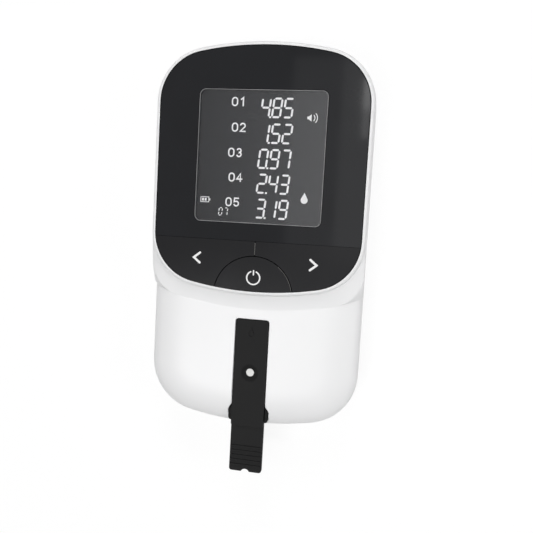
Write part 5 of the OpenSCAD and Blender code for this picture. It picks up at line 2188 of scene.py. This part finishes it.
@dataclass
class Studio:
    """Pale floor, soft light and the camera at the photograph's viewing angle."""

    # Place of the camera in millimetres, and the directions that it looks in and holds upright
    camera: tuple[float, float, float] = (42.8, 17.4, 237.3)
    looking: tuple[float, float, float] = (-0.1769, -0.0829, -0.9807)
    upright: tuple[float, float, float] = (-0.0696, 0.9950, -0.0716)
    lens: float = 40.53
    sensor: float = 36.0
    sky: float = 0.14
    floor_size: float = 2400.0
    floor_glow: float = 1.08
    floor_share: float = 0.8
    lamps: tuple[Lamp, ...] = (
        Lamp("overhead_light", (0, 0, 900), (900, 700), 3.16),
        Lamp("back_light", (0, 650, 450), (300, 300), 1.4),
        Lamp("right_light", (650, 0, 450), (300, 300), 1.12),
        Lamp("front_left_light", (-267, -300, 900), (160, 180), 1.36, in_gloss=True),
        Lamp("front_right_light", (-90, -300, 900), (160, 180), 0.62, in_gloss=True),
        Lamp("side_screen", (23, 90, 620), (74, 280), 0.075, aim=(23, 90, 0), in_gloss=True),
        Lamp("side_screen_edge", (-47, 90, 620), (66, 280), 0.028, aim=(-47, 90, 0), in_gloss=True),
        Lamp("streak_light", (19.5, 180, 600), (9, 40), 0.0086, aim=(19.5, 180, 0), in_gloss=True),
        Lamp("streak_light_end", (19.5, 142, 600), (9, 36), 0.0032, aim=(19.5, 142, 0), in_gloss=True),
    )

    def build(self) -> None:
        """Sets up the whole studio."""
        scene = bpy.context.scene
        scene.view_settings.view_transform = "Standard"
        self.place_camera(scene)
        self.background(scene)
        self.floor()
        for lamp in self.lamps:
            self.hang(lamp)

    def place_camera(self, scene: bpy.types.Scene) -> None:
        """Camera whose axes are worked out from where it looks and what it holds upright.

        Args:
            scene: The scene.
        """
        data = bpy.data.cameras.new("camera")
        data.lens, data.sensor_width = self.lens, self.sensor
        data.clip_start, data.clip_end = 0.005, 20
        scene.camera = linked("camera", data)
        back = -Vector(self.looking).normalized()
        right = Vector(self.upright).cross(back).normalized()
        rotation = Matrix((right, back.cross(right), back)).transposed().to_4x4()
        scene.camera.matrix_world = Matrix.Translation(Vector(self.camera) * MM) @ rotation

    def background(self, scene: bpy.types.Scene) -> None:
        """World that lights evenly, and that is seen as plain white.

        Args:
            scene: The scene.
        """
        scene.world = bpy.data.worlds.new("studio")
        bench = Bench(scene.world)
        light = bench.nodes["Background"]
        bench.feed(light, {"Color": WHITE, "Strength": self.sky})
        white = bench.add("Background", {"Color": WHITE, "Strength": 1.0})
        bench.show("World Output", bench.seen_directly(), light, white)

    def floor(self) -> None:
        """Large pale floor that is seen nearly white and keeps a faint shadow."""
        half = self.floor_size / 2
        floor = new_piece("floor", lift(rectangle(-half, half, -half, half), 0.0), [(0, 1, 2, 3)])
        material = bpy.data.materials.new("floor")
        bench = Bench(material)
        bench.feed(bench.shader, {"Base Color": (0.8, 0.8, 0.8, 1), "Roughness": 0.9,
                                  "Specular IOR Level": 0.1})
        glow = bench.add("Emission", {"Strength": self.floor_glow})
        share = bench.maths("MULTIPLY", bench.seen_directly(), self.floor_share)
        bench.show("Material Output", share, bench.shader, glow)
        floor.data.materials.append(material)

    def hang(self, lamp: Lamp) -> None:
        """Adds a lamp to the scene, hidden from gloss and glass unless it is meant for them.

        Args:
            lamp: What it is called, where it hangs, and how large and bright it is.
        """
        data = bpy.data.lights.new(lamp.name, "AREA")
        data.shape = "RECTANGLE"
        data.size, data.size_y = lamp.size[0] * MM, lamp.size[1] * MM
        data.energy = lamp.power
        light = linked(lamp.name, data)
        light.location = Vector(lamp.place) * MM
        light.rotation_euler = (Vector(lamp.aim) - Vector(lamp.place)).to_track_quat("-Z", "Y").to_euler()
        light.visible_glossy = light.visible_transmission = lamp.in_gloss


def main() -> None:
    """Builds the pieces in order, then the studio."""
    logging.basicConfig(level=logging.INFO, format="%(message)s")
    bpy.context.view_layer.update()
    casing = Casing()
    casing.build()
    Display().build(casing)
    Keypad().build(casing)
    Holder().build(casing)
    TestCard().build()
    BatteryBay().build()
    SideFittings().build()
    for node, finish in INNER_FINISHES.items():
        dress_node(node, finish)
    Studio().build()


if __name__ == "__main__":
    main()
